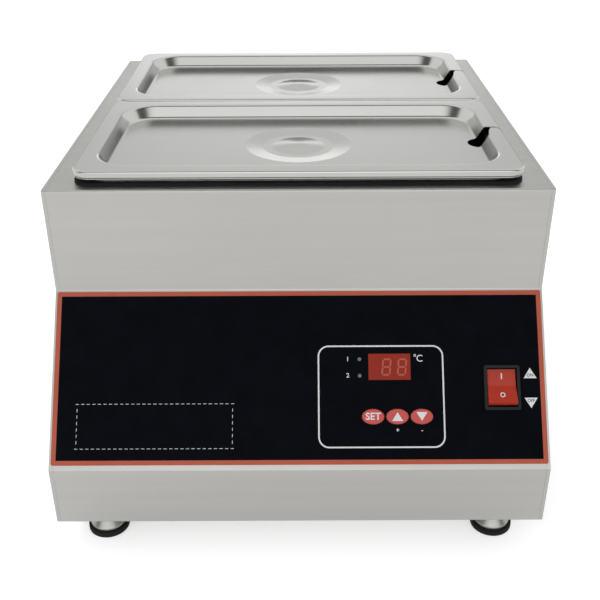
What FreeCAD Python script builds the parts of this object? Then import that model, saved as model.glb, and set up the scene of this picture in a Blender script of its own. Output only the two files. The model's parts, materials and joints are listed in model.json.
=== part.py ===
"""Two-pan chocolate melter: a dry-heated counter unit, built as an assembly of its separate pieces.

Millimetres. X runs to the right, the front faces -Y and Z points up. The origin is the middle of the
footprint, on the surface that the feet stand on. Well, pan and lid heights count from the deck's top
face. Places on the sloping control panel are X and the distance down the slope from the upper bend.
"""
import FreeCAD
import Part

import math
import os

from FreeCAD import Placement, Rotation, Vector

# Driving dimensions: the body, round the pans that it holds
DECK_SIDE = 18.5
DECK_REAR = 12.0
UPPER_FRONT = 79.0
PANEL_REACH = 82.0
PANEL_DROP = 104.0
LIP_HEIGHT = 49.0
FOOT_HEIGHT = 24.0
SHEET = 1.0
BEND_RADIUS = 1.6
SIDE_EDGE = 2.6
LAP_FLANGE = 11.0
RETURN_FLANGE = 46.0
SEAM_GAP = 0.1

# Driving dimensions: the third-size pans and lids
PAN_LENGTH = 325.0
PAN_WIDTH = 176.0
PAN_DEPTH = 100.0
PAN_SHEET = 0.8
WEB_LAP = 0.5
PAN_GAP = 4.0
PAN_FROM_FRONT = 8.0
PAN_CORNER = 13.0
PAN_EDGE = 0.4
PAN_FLANGE = 12.5
PAN_MOUTH_CORNER = 34.0
PAN_TAPER = 5.0
PAN_FLOOR_RADIUS = 14.0
PAN_FLANGE_TOP = 5.2
PAN_FLANGE_DROP = 1.8
PAN_EDGE_LEAN = 0.5
PAN_EDGE_SHOULDER = 1.3
PAN_EDGE_FOOT = 0.6
PAN_EDGE_ROUND = 1.8
PAN_EDGE_SOFT = 0.4
PAN_LIP_ROUND = 2.4
PAN_FLAT_RUN = 4.5
PAN_FLOOR_RUN = 4.0
LID_TOP = 10.8
LID_REST_GAP = 0.3
LID_HEM = 3.6
LID_BORDER = 15.0
LID_WALL_RUN = 11.0
LID_DROP = 11.3
LID_RECESS_CORNER = 27.0
LID_SOFT_BEND = 5.5
LID_SKIRT_LEAN = 0.6
LID_EDGE_ROUND = 1.7
LID_HEM_ROUND = 1.1
LID_FLAT_RUN = 4.0
LID_FLOOR_RUN = 7.0
DISH_RADIUS = 38.0
DISH_DEPTH = 6.0
DISH_SLOPE = 12.0
DISH_RUN = 2.0
DISH_RIM_ROUND = 7.0
DISH_FOOT_ROUND = 5.0
KNOB_RADIUS = 18.0
KNOB_RISE = 4.0
KNOB_CROWN = 0.6
KNOB_DRAFT = 0.5
KNOB_FOOT_ROUND = 1.4
KNOB_EDGE_ROUND = 2.4
NOTCH_WIDTH = 22.0
NOTCH_REACH = 26.0

# The well under the pans
OPENING_INSET = 0.9
TANK_WALL = 3.0
TANK_CLEARANCE = 2.5
TANK_CORNER = 16.0
TANK_RIM = 10.0
TANK_RIM_THICK = 2.0
PAN_SEAT_GAP = 0.3
SEAL_HEIGHT = 1.6
SEAL_CLEARANCE = 0.2
DIVIDER_WIDTH = 16.0
DIVIDER_HEIGHT = 9.0
DIVIDER_WALL = 1.5
MAT_THICK = 2.5
MAT_MARGIN = 14.0
MAT_CORNER = 8.0
INSULATION_THICK = 12.0
CLAMP_PLATE_THICK = 1.2
CLAMP_STUD_RADIUS = 2.0
CLAMP_STUD_INSET = 7.0
HANGER_THICK = 2.0
HANGER_WIDTH = 18.0
HANGER_SPREAD = 110.0
HANGER_STUD_FROM_SIDE = 9.0
HANGER_STUD_LENGTH = 9.0
PROBE_RADIUS = 2.5
PROBE_LENGTH = 40.0
PROBE_AT_X = -40.0
PROBE_DEPTH = 60.0
CLIP_WIDTH = 10.0
CLIP_THICK = 0.8
CLIP_EAR = 6.0
CUTOUT_RADIUS = 8.0
CUTOUT_HEIGHT = 9.0
CUTOUT_AT_X = 40.0
CUTOUT_BASE_SHARE = 0.8
TAB_SIZE = (0.8, 2.0, 14.0)
TAB_PITCH = 8.0

# The control panel: places count inwards from its right edge, rows are shares of the slope's length
FILM_THICK = 0.4
FILM_SIDE = 1.5
FILM_TOP = 1.6
FILM_BOTTOM = 3.8
FILM_CORNER = 1.5
PANEL_FIT = 0.3
WINDOW_AT = (114.8, 0.4394)
WINDOW_SIZE = (30.8, 19.2)
WINDOW_FLANGE = 2.0
WINDOW_FLANGE_THICK = 0.8
BUTTONS_AT = {"button_set": 127.4, "button_up": 109.7, "button_down": 92.0}
BUTTON_ROW = 0.7135
BUTTON_SIZE = (16.2, 11.0)
BUTTON_PROUD = 0.9
BUTTON_TRAVEL = 0.6
BUTTON_FLANGE = (0.5, 1.2)
BUTTON_FLANGE_THICK = 0.8
BUTTON_EASE = 0.1
BUTTON_ROUND = 0.5
LAMP_AT = 136.7
LAMP_ROWS = (0.3964, 0.4878)
LAMP_RADIUS = 1.5
BOARD_AT = (121.2, 0.5965)
BOARD_LENGTH = 88.0
BOARD_MARGIN = 31.2
BOARD_THICK = 1.6
BOARD_BEHIND = 13.0
STANDOFF_RADIUS = 2.5
STANDOFF_INSET = 4.5
STANDOFF_PIN = 1.2
STANDOFF_PIN_END = 1.5
SWITCH_SIZE = 6.0
SWITCH_HEIGHT = 4.0
PLUNGER_RADIUS = 1.7
PLUNGER_HEIGHT = 1.0
RELAY_SIZE = (19.0, 15.5, 15.5)
RELAY_AT = (147.0, 0.6947)
ROCKER_AT = (33.0, 0.5572)
BEZEL_SIZE = (26.3, 32.6)
BEZEL_THICK = 2.0
BEZEL_CORNER = 1.6
ROCKER_WIDTH = 21.2
ROCKER_REACH = 12.6
ROCKER_CREST = 2.6
ROCKER_DIP = 1.0
ROCKER_PIVOT = 3.0
ROCKER_SKIRT = 7.0
ROCKER_TILT = 11.0
ROCKER_HOLLOW = 6.0
ROCKER_ROUND = 0.7
ROCKER_TAPER = 3.0
ROCKER_CLEARANCE = 0.35
ROCKER_CASE_WALL = 0.9
ROCKER_CASE_DEPTH = 20.0
TRUNNION_RADIUS = 1.5
TRUNNION_CLEARANCE = 0.08
BLADE_SIZE = (0.8, 6.3, 9.0)
BLADE_PITCH = 7.0

# Feet and base
FOOT_INSET_X = 32.0
FOOT_INSET_Y = 24.0
FOOT_PAD_RADIUS = 15.6
FOOT_PAD_HEIGHT = 5.0
FOOT_DISH_RADIUS = 13.6
FOOT_DISH_EDGE = 2.0
FOOT_DISH_ROUND = 1.2
FOOT_FLARE_ROUND = 4.0
FOOT_NECK_RADIUS = 6.2
FOOT_NECK_GAP = 2.6
STUD_RADIUS = 4.0
STUD_CLEARANCE = 0.05
HOLE_CLEARANCE = 0.5
FOOT_NUT_ACROSS = 13.0
FOOT_NUT_HEIGHT = 6.5
STUD_END = 1.5
BASE_THICK = 1.0
BASE_SLOT = (60.0, 5.0)
BASE_SLOT_PITCH = 14.0
BASE_SLOT_COUNT = 7
SCREW_RADIUS = 2.0
SCREW_HEAD_RADIUS = 3.8
SCREW_HEAD_HEIGHT = 1.8
SCREW_NUT_ACROSS = 7.0
SCREW_NUT_HEIGHT = 3.2
SCREW_END = 1.0
SCREW_TIP_ROUND = 0.4
NUT_CLEARANCE = 0.05

# The rear wall and what stands on the base
INLET_EAR = 5.0
INLET_FLANGE_HEIGHT = 26.0
INLET_FLANGE_THICK = 3.0
INLET_BODY = (27.0, 20.0)
INLET_DEPTH = 22.0
INLET_CAVITY = (22.6, 15.6)
INLET_FLOOR = 3.0
INLET_CORNERS = (6.0, 2.0, 3.0)
INLET_FROM_SIDE = 81.0
INLET_HEIGHT = 46.0
INLET_SCREW_PITCH = 40.0
PIN_SIZE = (2.0, 4.0)
PIN_SHORT_OF_MOUTH = 4.0
PIN_PITCH = 7.0
PIN_OFFSET = 2.5
TAB_LENGTH = 9.0
LOUVRE_SIZE = (5.0, 70.0)
LOUVRE_PITCH = 14.0
LOUVRE_COUNT = 9
LOUVRE_HEIGHT = 90.0
BLOCK_SIZE = (52.0, 20.0, 16.0)
BLOCK_FROM_CORNER = (121.0, 77.5)
BLOCK_WAYS = 5
BLOCK_WELL = 2.6
EARTH_FROM_CORNER = (61.0, 77.5)
EARTH_LENGTH = 16.0
EARTH_NUT_LAP = 0.5

# Small roundings and what a cut runs past its faces
SMALL_CORNER = 1.0
PAST = 1.0

# Places that follow from the sizes above
PAN_PITCH = PAN_WIDTH + PAN_GAP
WELL_WIDTH = PAN_WIDTH + PAN_PITCH
BODY_WIDTH = PAN_LENGTH + 2 * DECK_SIDE
BODY_HEIGHT = UPPER_FRONT + PANEL_DROP + LIP_HEIGHT
DECK_DEPTH = PAN_FROM_FRONT + WELL_WIDTH + DECK_REAR
OVERALL_DEPTH = DECK_DEPTH + PANEL_REACH + INLET_FLANGE_THICK
Y_LIP = -OVERALL_DEPTH / 2
Y_DECK = Y_LIP + PANEL_REACH
Y_REAR = Y_DECK + DECK_DEPTH
Z_BASE = FOOT_HEIGHT
Z_DECK = Z_BASE + BODY_HEIGHT
Z_BEND = Z_DECK - UPPER_FRONT
Z_LIP = Z_BASE + LIP_HEIGHT
HALF_WIDTH = BODY_WIDTH / 2
SLOPE_LENGTH = math.hypot(PANEL_REACH, PANEL_DROP)
SLOPE_TURN = math.degrees(math.atan2(PANEL_DROP, PANEL_REACH))
WRAP_HALF = HALF_WIDTH - SIDE_EDGE - SEAM_GAP
LAP_EDGE = HALF_WIDTH - SIDE_EDGE - LAP_FLANGE
PAN_Y = {
    "front": Y_DECK + PAN_FROM_FRONT + PAN_WIDTH / 2,
    "rear": Y_DECK + PAN_FROM_FRONT + PAN_WIDTH / 2 + PAN_PITCH,
}
WELL_Y = (PAN_Y["front"] + PAN_Y["rear"]) / 2
LID_BOTTOM = PAN_FLANGE_TOP + LID_REST_GAP
LID_FLOOR = LID_TOP - LID_DROP
PAN_FLOOR = PAN_FLANGE_TOP - PAN_DEPTH
TANK_FLOOR = PAN_FLOOR - TANK_CLEARANCE
TANK_BOTTOM = TANK_FLOOR - TANK_WALL
TANK_INNER_INSET = PAN_FLANGE - PAN_SHEET - TANK_CLEARANCE
TANK_OUTER_INSET = TANK_INNER_INSET - TANK_WALL
TANK_LENGTH = PAN_LENGTH - 2 * TANK_OUTER_INSET
TANK_WIDTH = WELL_WIDTH - 2 * TANK_OUTER_INSET
TANK_FRONT = WELL_Y - TANK_WIDTH / 2
COLLAR_TOP = PAN_FLANGE_TOP - PAN_SHEET - PAN_SEAT_GAP
RIM_BOTTOM = -SHEET - TANK_RIM_THICK
MAT_BOTTOM = TANK_BOTTOM - MAT_THICK
INSULATION_BOTTOM = MAT_BOTTOM - INSULATION_THICK
CLAMP_PLATE_BOTTOM = INSULATION_BOTTOM - CLAMP_PLATE_THICK
FOOT_X = HALF_WIDTH - FOOT_INSET_X
FOOT_Y = {"front": Y_LIP + FOOT_INSET_Y, "rear": Y_REAR - FOOT_INSET_Y}
BASE_TOP = Z_BASE + SHEET + BASE_THICK
ROCKER_SWEEP = math.hypot(ROCKER_REACH, ROCKER_CREST + ROCKER_PIVOT)
BOARD_WIDTH = SLOPE_LENGTH - 2 * BOARD_MARGIN
INLET_AT = (HALF_WIDTH - INLET_FROM_SIDE, Z_BASE + INLET_HEIGHT)
CASE_X = ROCKER_WIDTH + 2 * (ROCKER_CLEARANCE + ROCKER_CASE_WALL)
CASE_Y = 2 * (ROCKER_SWEEP + ROCKER_CLEARANCE + ROCKER_CASE_WALL)
BEHIND = -SHEET - PAST
THROUGH = FILM_THICK + PAST

ORIGIN = Vector(0, 0, 0)
RIGHT = Vector(1, 0, 0)
UP = Vector(0, 0, 1)


# Plain forms

def box(x0, x1, y0, y1, z0, z1):
    """A block between two corners."""
    return Part.makeBox(x1 - x0, y1 - y0, z1 - z0, Vector(x0, y0, z0))


def centred_box(x, y, size_x, size_y, z0, z1):
    """A block centred on x, y."""
    return box(x - size_x / 2, x + size_x / 2, y - size_y / 2, y + size_y / 2, z0, z1)


def rod(radius, x, y, z0, z1):
    """An upright cylinder."""
    return Part.makeCylinder(radius, z1 - z0, Vector(x, y, z0), UP)


def soft_polygon(points, radii):
    """A closed wire through the points, each corner rounded by its radius (0 keeps it sharp)."""
    count = len(points)
    ends = []
    for i, corner in enumerate(points):
        if radii[i] <= 0:
            ends.append((corner, None, corner))
            continue
        back = (points[i - 1] - corner).normalize()
        ahead = (points[(i + 1) % count] - corner).normalize()
        half = back.getAngle(ahead) / 2
        cut = radii[i] / math.tan(half)
        middle = (back + ahead).normalize()
        crown = corner + middle * (radii[i] / math.sin(half) - radii[i])
        ends.append((corner + back * cut, crown, corner + ahead * cut))
    edges = []
    for i, (start, crown, end) in enumerate(ends):
        if crown is not None:
            edges.append(Part.Arc(start, crown, end).toShape())
        following = ends[(i + 1) % count][0]
        if end.distanceToPoint(following) > 1e-6:
            edges.append(Part.LineSegment(end, following).toShape())
    return Part.Wire(edges)


def slab(x, y, length, width, radius, z0, z1):
    """A level plate with rounded corners, centred on x, y."""
    a, b = length / 2, width / 2
    turns = [(-1, -1), (1, -1), (1, 1), (-1, 1)]
    corners = [Vector(x + sx * a, y + sy * b, z0) for sx, sy in turns]
    return Part.Face(soft_polygon(corners, [radius] * 4)).extrude(Vector(0, 0, z1 - z0))


def oval(length, width, z0, z1):
    """An elliptic plate centred on the Z axis."""
    edge = Part.Ellipse(Vector(0, 0, z0), length / 2, width / 2).toShape()
    return Part.Face(Part.Wire([edge])).extrude(Vector(0, 0, z1 - z0))


def carry_round(points, radii, y, length, width, corner):
    """A profile of (inset, height) points carried round a rounded rectangle centred on 0, y.

    The inset counts inwards from the rectangle. Every corner turns about the point that lies 'corner'
    in from both sides, so the profile stays within that inset.
    """
    section = Part.Face(soft_polygon([Vector(0, a - corner, z) for a, z in points], radii))
    hx, hy = length / 2 - corner, width / 2 - corner
    turns = [Vector(-hx, -hy, 0), Vector(-hx, hy, 0), Vector(hx, hy, 0), Vector(hx, -hy, 0)]
    pieces = []
    for k, turn in enumerate(turns):
        face = section.copy()
        face.rotate(ORIGIN, UP, -90 * k)
        pieces.append(face.translated(turns[k - 1]).extrude(turn - turns[k - 1]))
        pieces.append(face.translated(turn).revolve(turn, UP, -90))
    return pieces[0].multiFuse(pieces[1:]).removeSplitter().translated(Vector(0, y, 0))


def spun(points, radii, x, y):
    """A profile of (radius, height) points turned about the upright line through x, y."""
    face = Part.Face(soft_polygon([Vector(r, 0, z) for r, z in points], radii))
    return face.revolve(ORIGIN, UP, 360).translated(Vector(x, y, 0))


def hex_nut(x, y, z, across, height, bore):
    """A hexagon nut with a plain bore, standing on height z."""
    radius = across / math.sqrt(3)
    turns = [math.radians(60 * k) for k in range(7)]
    corners = [Vector(x + radius * math.cos(a), y + radius * math.sin(a), z) for a in turns]
    body = Part.Face(Part.makePolygon(corners)).extrude(Vector(0, 0, height))
    return body.cut(rod(bore, x, y, z - PAST, z + height + PAST))


def merged(*shapes):
    """The shapes as one solid, with shared faces cleaned up."""
    return shapes[0].multiFuse(list(shapes[1:])).removeSplitter()


def group(shapes):
    """Separate solids of one kind in one node."""
    return Part.makeCompound(list(shapes))


def on_panel(shape, inwards, row):
    """Move a shape from its own axes (X right, Y up the slope, Z outwards) to its place on the panel.

    The place counts inwards from the panel's right edge, and its row is a share of the slope's length.
    """
    moved = shape.translated(Vector(HALF_WIDTH - inwards, -row * SLOPE_LENGTH, 0))
    place = Placement(Vector(0, Y_DECK, Z_BEND), Rotation(RIGHT, SLOPE_TURN))
    moved.transformShape(place.toMatrix())
    return moved


def on_rear(shape, x, height):
    """Move a shape from its own axes (X right, Y up, Z outwards) to its place on the rear wall."""
    moved = shape.translated(Vector(-x, height, 0))
    place = Placement(Vector(0, Y_REAR, 0), Rotation(Vector(0, 1, 1), 180))
    moved.transformShape(place.toMatrix())
    return moved


def at_deck(shape):
    """Lift a shape whose heights count from the deck's top face."""
    return shape.translated(Vector(0, 0, Z_DECK))


# The body's sheet metal

def body_outline(inset, x):
    """The body's side profile in the plane at x, moved inwards by an inset, with its bends."""
    points = [(Y_LIP, Z_BASE), (Y_LIP, Z_LIP), (Y_DECK, Z_BEND),
              (Y_DECK, Z_DECK), (Y_REAR, Z_DECK), (Y_REAR, Z_BASE)]
    hollow_corner = 2
    corners, radii = [], []
    for i, (py, pz) in enumerate(points):
        corner = Vector(x, py, pz)
        back = (Vector(x, *points[i - 1]) - corner).normalize()
        ahead = (Vector(x, *points[(i + 1) % len(points)]) - corner).normalize()
        half = back.getAngle(ahead) / 2
        inwards = -1 if i == hollow_corner else 1
        corners.append(corner + (back + ahead).normalize() * (inwards * inset / math.sin(half)))
        radii.append(max(BEND_RADIUS - inwards * inset, 0.2))
    return soft_polygon(corners, radii)


def band_across(inset_out, inset_in, x0, x1):
    """The band between two insets of the side profile, from x0 to x1."""
    along = Vector(x1 - x0, 0, 0)
    outer = Part.Face(body_outline(inset_out, x0)).extrude(along)
    return outer.cut(Part.Face(body_outline(inset_in, x0)).extrude(along))


def housing_wrap():
    """Deck, upper front, sloping panel, lip and rear wall bent from one sheet, with its cut-outs."""
    sheet = band_across(0, SHEET, -WRAP_HALF, WRAP_HALF)
    floor_gap = box(-HALF_WIDTH, HALF_WIDTH, Y_LIP + RETURN_FLANGE, Y_REAR - RETURN_FLANGE,
                    Z_BASE - PAST, BASE_TOP)
    well = slab(0, WELL_Y, PAN_LENGTH - 2 * OPENING_INSET, WELL_WIDTH - 2 * OPENING_INSET,
                PAN_CORNER - OPENING_INSET, Z_DECK + BEHIND, Z_DECK + PAST)
    cuts = [floor_gap, well, window_opening(PANEL_FIT)]
    cuts += button_openings() + lamp_openings()
    cuts.append(rocker_opening())
    body = slab(0, 0, INLET_BODY[0] + PANEL_FIT, INLET_BODY[1] + PANEL_FIT, INLET_CORNERS[1], BEHIND, PAST)
    cuts.append(on_rear(body, *INLET_AT))
    screw_hole = rod(SCREW_RADIUS + NUT_CLEARANCE, 0, 0, BEHIND, PAST)
    cuts += [on_rear(screw_hole, *place) for place in inlet_screw_places()]
    cuts += louvres()
    cuts += floor_holes()
    return sheet.cut(cuts)


def louvres():
    """Upright vent slots in the rear wall, on the side away from the inlet."""
    first = -INLET_AT[0] - (LOUVRE_COUNT - 1) / 2 * LOUVRE_PITCH
    width, height = LOUVRE_SIZE
    slot = slab(0, 0, width, height, width / 2 - NUT_CLEARANCE, BEHIND, PAST)
    return [on_rear(slot, first + k * LOUVRE_PITCH, Z_BASE + LOUVRE_HEIGHT) for k in range(LOUVRE_COUNT)]


def side_panel(side):
    """A flat side with its edge turned in, stepped to a lap flange that runs under the wrap's sheet."""
    inner, fold = HALF_WIDTH - SHEET, HALF_WIDTH - SIDE_EDGE
    under = SHEET + SEAM_GAP
    plate = Part.Face(body_outline(0, inner)).extrude(Vector(SHEET, 0, 0))
    edge = band_across(0, under + SHEET, fold, inner)
    lap = band_across(under, under + SHEET, LAP_EDGE, fold)
    panel = merged(plate, edge, lap)
    beside_well = box(LAP_EDGE - PAST, fold, WELL_Y - WELL_WIDTH / 2, WELL_Y + WELL_WIDTH / 2,
                      Z_DECK - under - SHEET - PAST, Z_DECK)
    panel = panel.cut(beside_well)
    return panel if side > 0 else panel.mirror(ORIGIN, RIGHT)


def feet_places():
    """Centre of each foot, by name."""
    return {
        "front_left": (-FOOT_X, FOOT_Y["front"]),
        "front_right": (FOOT_X, FOOT_Y["front"]),
        "rear_left": (-FOOT_X, FOOT_Y["rear"]),
        "rear_right": (FOOT_X, FOOT_Y["rear"]),
    }


def base_screw_places():
    """Screws through the return flanges into the base plate."""
    rows = (Y_LIP + RETURN_FLANGE / 2, Y_REAR - RETURN_FLANGE / 2)
    return [(x, y) for x in (-FOOT_X / 2, 0, FOOT_X / 2) for y in rows]


def floor_holes():
    """Round holes through flange and base plate for the feet and the base screws."""
    low, high = Z_BASE - PAST, BASE_TOP + PAST
    holes = [rod(STUD_RADIUS + HOLE_CLEARANCE, x, y, low, high) for x, y in feet_places().values()]
    return holes + [rod(SCREW_RADIUS + NUT_CLEARANCE, x, y, low, high) for x, y in base_screw_places()]


def base_plate():
    """The floor of the body, lying on the return flanges, with vent slots and holes."""
    half = LAP_EDGE - SEAM_GAP
    inset = SHEET + BEND_RADIUS
    front, rear = Y_LIP + inset, Y_REAR - inset
    bottom = Z_BASE + SHEET
    plate = box(-half, half, front, rear, bottom, BASE_TOP)
    holes = floor_holes()
    for k in range(BASE_SLOT_COUNT):
        y = (front + rear) / 2 + (k - (BASE_SLOT_COUNT - 1) / 2) * BASE_SLOT_PITCH
        for x in (-FOOT_X / 2, FOOT_X / 2):
            holes.append(slab(x, y, *BASE_SLOT, BASE_SLOT[1] / 2 - NUT_CLEARANCE, bottom - PAST,
                              BASE_TOP + PAST))
    return plate.cut(holes)


def base_screws():
    """Pan-head screws from below, through flange, base plate and nut."""
    top = BASE_TOP + SCREW_NUT_HEIGHT + SCREW_END
    low = Z_BASE - SCREW_HEAD_HEIGHT
    profile = [(0, low), (SCREW_HEAD_RADIUS, low), (SCREW_HEAD_RADIUS, Z_BASE), (SCREW_RADIUS, Z_BASE),
               (SCREW_RADIUS, top), (0, top)]
    rounds = [0, SMALL_CORNER, 0, 0, SCREW_TIP_ROUND, 0]
    return group(spun(profile, rounds, x, y) for x, y in base_screw_places())


def base_nuts():
    """Hexagon nuts on the base screws, on top of the base plate."""
    bore = SCREW_RADIUS + NUT_CLEARANCE
    return group(hex_nut(x, y, BASE_TOP, SCREW_NUT_ACROSS, SCREW_NUT_HEIGHT, bore)
                 for x, y in base_screw_places())


# Pans and lids

def corner_webs(y, start, inner, corner, z0, z1):
    """The flat corners of a flange, from its edge's band to the rounder band that starts at an inset."""
    start -= 2 * WEB_LAP
    inner += WEB_LAP
    outer = slab(0, y, PAN_LENGTH - 2 * start, PAN_WIDTH - 2 * start, SMALL_CORNER, z0, z1)
    opening = slab(0, y, PAN_LENGTH - 2 * inner, PAN_WIDTH - 2 * inner, corner - inner, z0 - PAST, z1 + PAST)
    return outer.cut(opening)


def flat_middle(y, inset, corner, z0, z1):
    """The flat middle of a pressing, lapping a little under the band that ends at an inset."""
    inset -= WEB_LAP
    return slab(0, y, PAN_LENGTH - 2 * inset, PAN_WIDTH - 2 * inset, corner - inset, z0, z1)


def pan(place):
    """A third-size pan: flange with a turned-down edge, tapered walls and a soft floor corner."""
    y, top, sheet, edge = PAN_Y[place], PAN_FLANGE_TOP, PAN_SHEET, PAN_EDGE
    low = top - PAN_FLANGE_DROP
    seam = PAN_CORNER - WEB_LAP
    rim = carry_round(
        [(edge, low - sheet), (edge + sheet, low - sheet), (edge + sheet + PAN_EDGE_LEAN, top - sheet),
         (seam, top - sheet), (seam, top), (edge + PAN_EDGE_SHOULDER, top), (edge, low + PAN_EDGE_FOOT)],
        [0, 0, PAN_EDGE_ROUND - sheet, 0, 0, PAN_EDGE_ROUND, PAN_EDGE_SOFT],
        y, PAN_LENGTH, PAN_WIDTH, PAN_CORNER)
    corner = PAN_FLANGE + PAN_MOUTH_CORNER
    flat = PAN_FLANGE - PAN_FLAT_RUN
    foot = PAN_FLANGE + PAN_TAPER
    floor_edge = foot + PAN_FLOOR_RADIUS + PAN_FLOOR_RUN
    wall = carry_round(
        [(flat, top), (PAN_FLANGE, top), (foot, PAN_FLOOR + sheet), (floor_edge, PAN_FLOOR + sheet),
         (floor_edge, PAN_FLOOR), (foot - sheet, PAN_FLOOR), (PAN_FLANGE - sheet, top - sheet),
         (flat, top - sheet)],
        [0, PAN_LIP_ROUND, PAN_FLOOR_RADIUS, 0, 0, PAN_FLOOR_RADIUS + sheet, PAN_LIP_ROUND - sheet, 0],
        y, PAN_LENGTH, PAN_WIDTH, corner)
    webs = corner_webs(y, PAN_CORNER, flat, corner, top - sheet, top)
    floor = flat_middle(y, floor_edge, corner, PAN_FLOOR, PAN_FLOOR + sheet)
    return at_deck(merged(rim, wall, webs, floor))


def lid(place):
    """A pressed lid: hemmed skirt, flat border, soft recess, dish with a raised knob, ladle notch."""
    y, top, low, sheet = PAN_Y[place], LID_TOP, LID_BOTTOM, PAN_SHEET
    seam, lean = PAN_CORNER - WEB_LAP, LID_SKIRT_LEAN
    skirt = carry_round(
        [(0, low), (LID_HEM, low), (LID_HEM, low + sheet), (sheet, low + sheet), (sheet + lean, top - sheet),
         (seam, top - sheet), (seam, top), (lean, top)],
        [LID_HEM_ROUND, 0, 0, LID_HEM_ROUND - lean, LID_EDGE_ROUND - sheet, 0, 0, LID_EDGE_ROUND],
        y, PAN_LENGTH, PAN_WIDTH, PAN_CORNER)
    corner = LID_BORDER + LID_RECESS_CORNER
    floor, soft = LID_FLOOR, LID_SOFT_BEND
    run_end = LID_BORDER + LID_WALL_RUN
    start, end = LID_BORDER - LID_FLAT_RUN, run_end + LID_FLOOR_RUN
    shift = sheet * math.tan(math.atan2(LID_DROP, LID_WALL_RUN) / 2)
    wall = carry_round(
        [(start, top), (LID_BORDER, top), (run_end, floor), (end, floor), (end, floor - sheet),
         (run_end - shift, floor - sheet), (LID_BORDER - shift, top - sheet), (start, top - sheet)],
        [0, soft, soft, 0, 0, soft + sheet, soft - sheet, 0], y, PAN_LENGTH, PAN_WIDTH, corner)
    webs = corner_webs(y, PAN_CORNER, start, corner, top - sheet, top)
    panel = flat_middle(y, end, corner, floor - sheet, floor)
    panel = panel.cut(rod(DISH_RADIUS + DISH_RUN - WEB_LAP, 0, y, floor - sheet - PAST, floor + PAST))
    return at_deck(merged(skirt, wall, webs, panel, dish(y)).cut(notch(y)))


def dish(y):
    """The round dish in the middle of a lid, with its knob, turned as one thin profile."""
    sheet, level = PAN_SHEET, LID_FLOOR
    low, crown = level - DISH_DEPTH, level + KNOB_RISE
    foot, rim, outer = DISH_RADIUS - DISH_SLOPE, DISH_RADIUS - DISH_RUN, DISH_RADIUS + DISH_RUN
    knob_foot = KNOB_RADIUS + KNOB_DRAFT
    shift = sheet * math.tan(math.atan2(DISH_DEPTH, rim - foot) / 2)
    outline = [(outer, level), (rim, level), (foot, low), (knob_foot, low), (KNOB_RADIUS, crown),
               (0, crown + KNOB_CROWN), (0, crown + KNOB_CROWN - sheet), (KNOB_RADIUS - sheet, crown - sheet),
               (knob_foot - sheet, low - sheet), (foot + shift, low - sheet), (rim + shift, level - sheet),
               (outer, level - sheet)]
    radii = [0, DISH_RIM_ROUND, DISH_FOOT_ROUND, KNOB_FOOT_ROUND, KNOB_EDGE_ROUND, 0,
             0, KNOB_EDGE_ROUND - sheet, KNOB_FOOT_ROUND + sheet, DISH_FOOT_ROUND + sheet,
             DISH_RIM_ROUND - sheet, 0]
    return spun(outline, radii, 0, y)


def notch(y):
    """The cut for a ladle: a slot from the right edge with a round inner end."""
    edge = PAN_LENGTH / 2
    reach = edge - NOTCH_REACH + NOTCH_WIDTH / 2
    low, high = LID_FLOOR - LID_DROP, LID_TOP + PAST
    slot = box(reach, edge + PAST, y - NOTCH_WIDTH / 2, y + NOTCH_WIDTH / 2, low, high)
    return merged(rod(NOTCH_WIDTH / 2, reach, y, low, high), slot)


# The well under the pans

def tank():
    """The aluminium well: walls, floor, a rim under the deck and a collar that the pans sit on.

    The collar is lower between the pans, where the turned-down edges of their flanges cross it.
    """
    tub = slab(0, WELL_Y, TANK_LENGTH, TANK_WIDTH, TANK_CORNER + TANK_WALL, TANK_BOTTOM, COLLAR_TOP)
    rim = slab(0, WELL_Y, TANK_LENGTH + 2 * TANK_RIM, TANK_WIDTH + 2 * TANK_RIM, TANK_CORNER,
               RIM_BOTTOM, -SHEET)
    hollow = slab(0, WELL_Y, TANK_LENGTH - 2 * TANK_WALL, TANK_WIDTH - 2 * TANK_WALL, TANK_CORNER,
                  TANK_FLOOR, COLLAR_TOP + PAST)
    edge_gap = centred_box(0, WELL_Y, TANK_LENGTH + PAST, DIVIDER_WIDTH - 2 * DIVIDER_WALL, SEAL_HEIGHT,
                           COLLAR_TOP + PAST)
    return at_deck(merged(tub, rim).cut([hollow, edge_gap]))


def pan_divider():
    """The channel across the well whose two upright legs carry the pans' inner flanges."""
    length = TANK_LENGTH - 2 * TANK_WALL
    low = COLLAR_TOP - DIVIDER_HEIGHT
    bar = centred_box(0, WELL_Y, length, DIVIDER_WIDTH, low, COLLAR_TOP)
    inside = centred_box(0, WELL_Y, length + PAST, DIVIDER_WIDTH - 2 * DIVIDER_WALL, low + DIVIDER_WALL,
                         COLLAR_TOP + PAST)
    return at_deck(bar.cut(inside))


def tank_seal():
    """The black seal that fills the gap between the deck's opening and the tank's collar."""
    outer = OPENING_INSET + SEAL_CLEARANCE
    ring = slab(0, WELL_Y, PAN_LENGTH - 2 * outer, WELL_WIDTH - 2 * outer, PAN_CORNER - outer,
                -SHEET, SEAL_HEIGHT)
    collar = slab(0, WELL_Y, TANK_LENGTH + 2 * SEAL_CLEARANCE, TANK_WIDTH + 2 * SEAL_CLEARANCE,
                  TANK_CORNER + TANK_WALL + SEAL_CLEARANCE, BEHIND, SEAL_HEIGHT + PAST)
    return at_deck(ring.cut(collar))


def heater_mat(place):
    """A flat heating mat under one pan, bonded to the tank's floor."""
    length = TANK_LENGTH - 2 * MAT_MARGIN
    width = TANK_WIDTH / 2 - 1.5 * MAT_MARGIN
    side = -1 if place == "front" else 1
    y = WELL_Y + side * (width / 2 + MAT_MARGIN / 2)
    return at_deck(slab(0, y, length, width, MAT_CORNER, MAT_BOTTOM, TANK_BOTTOM))


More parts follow.
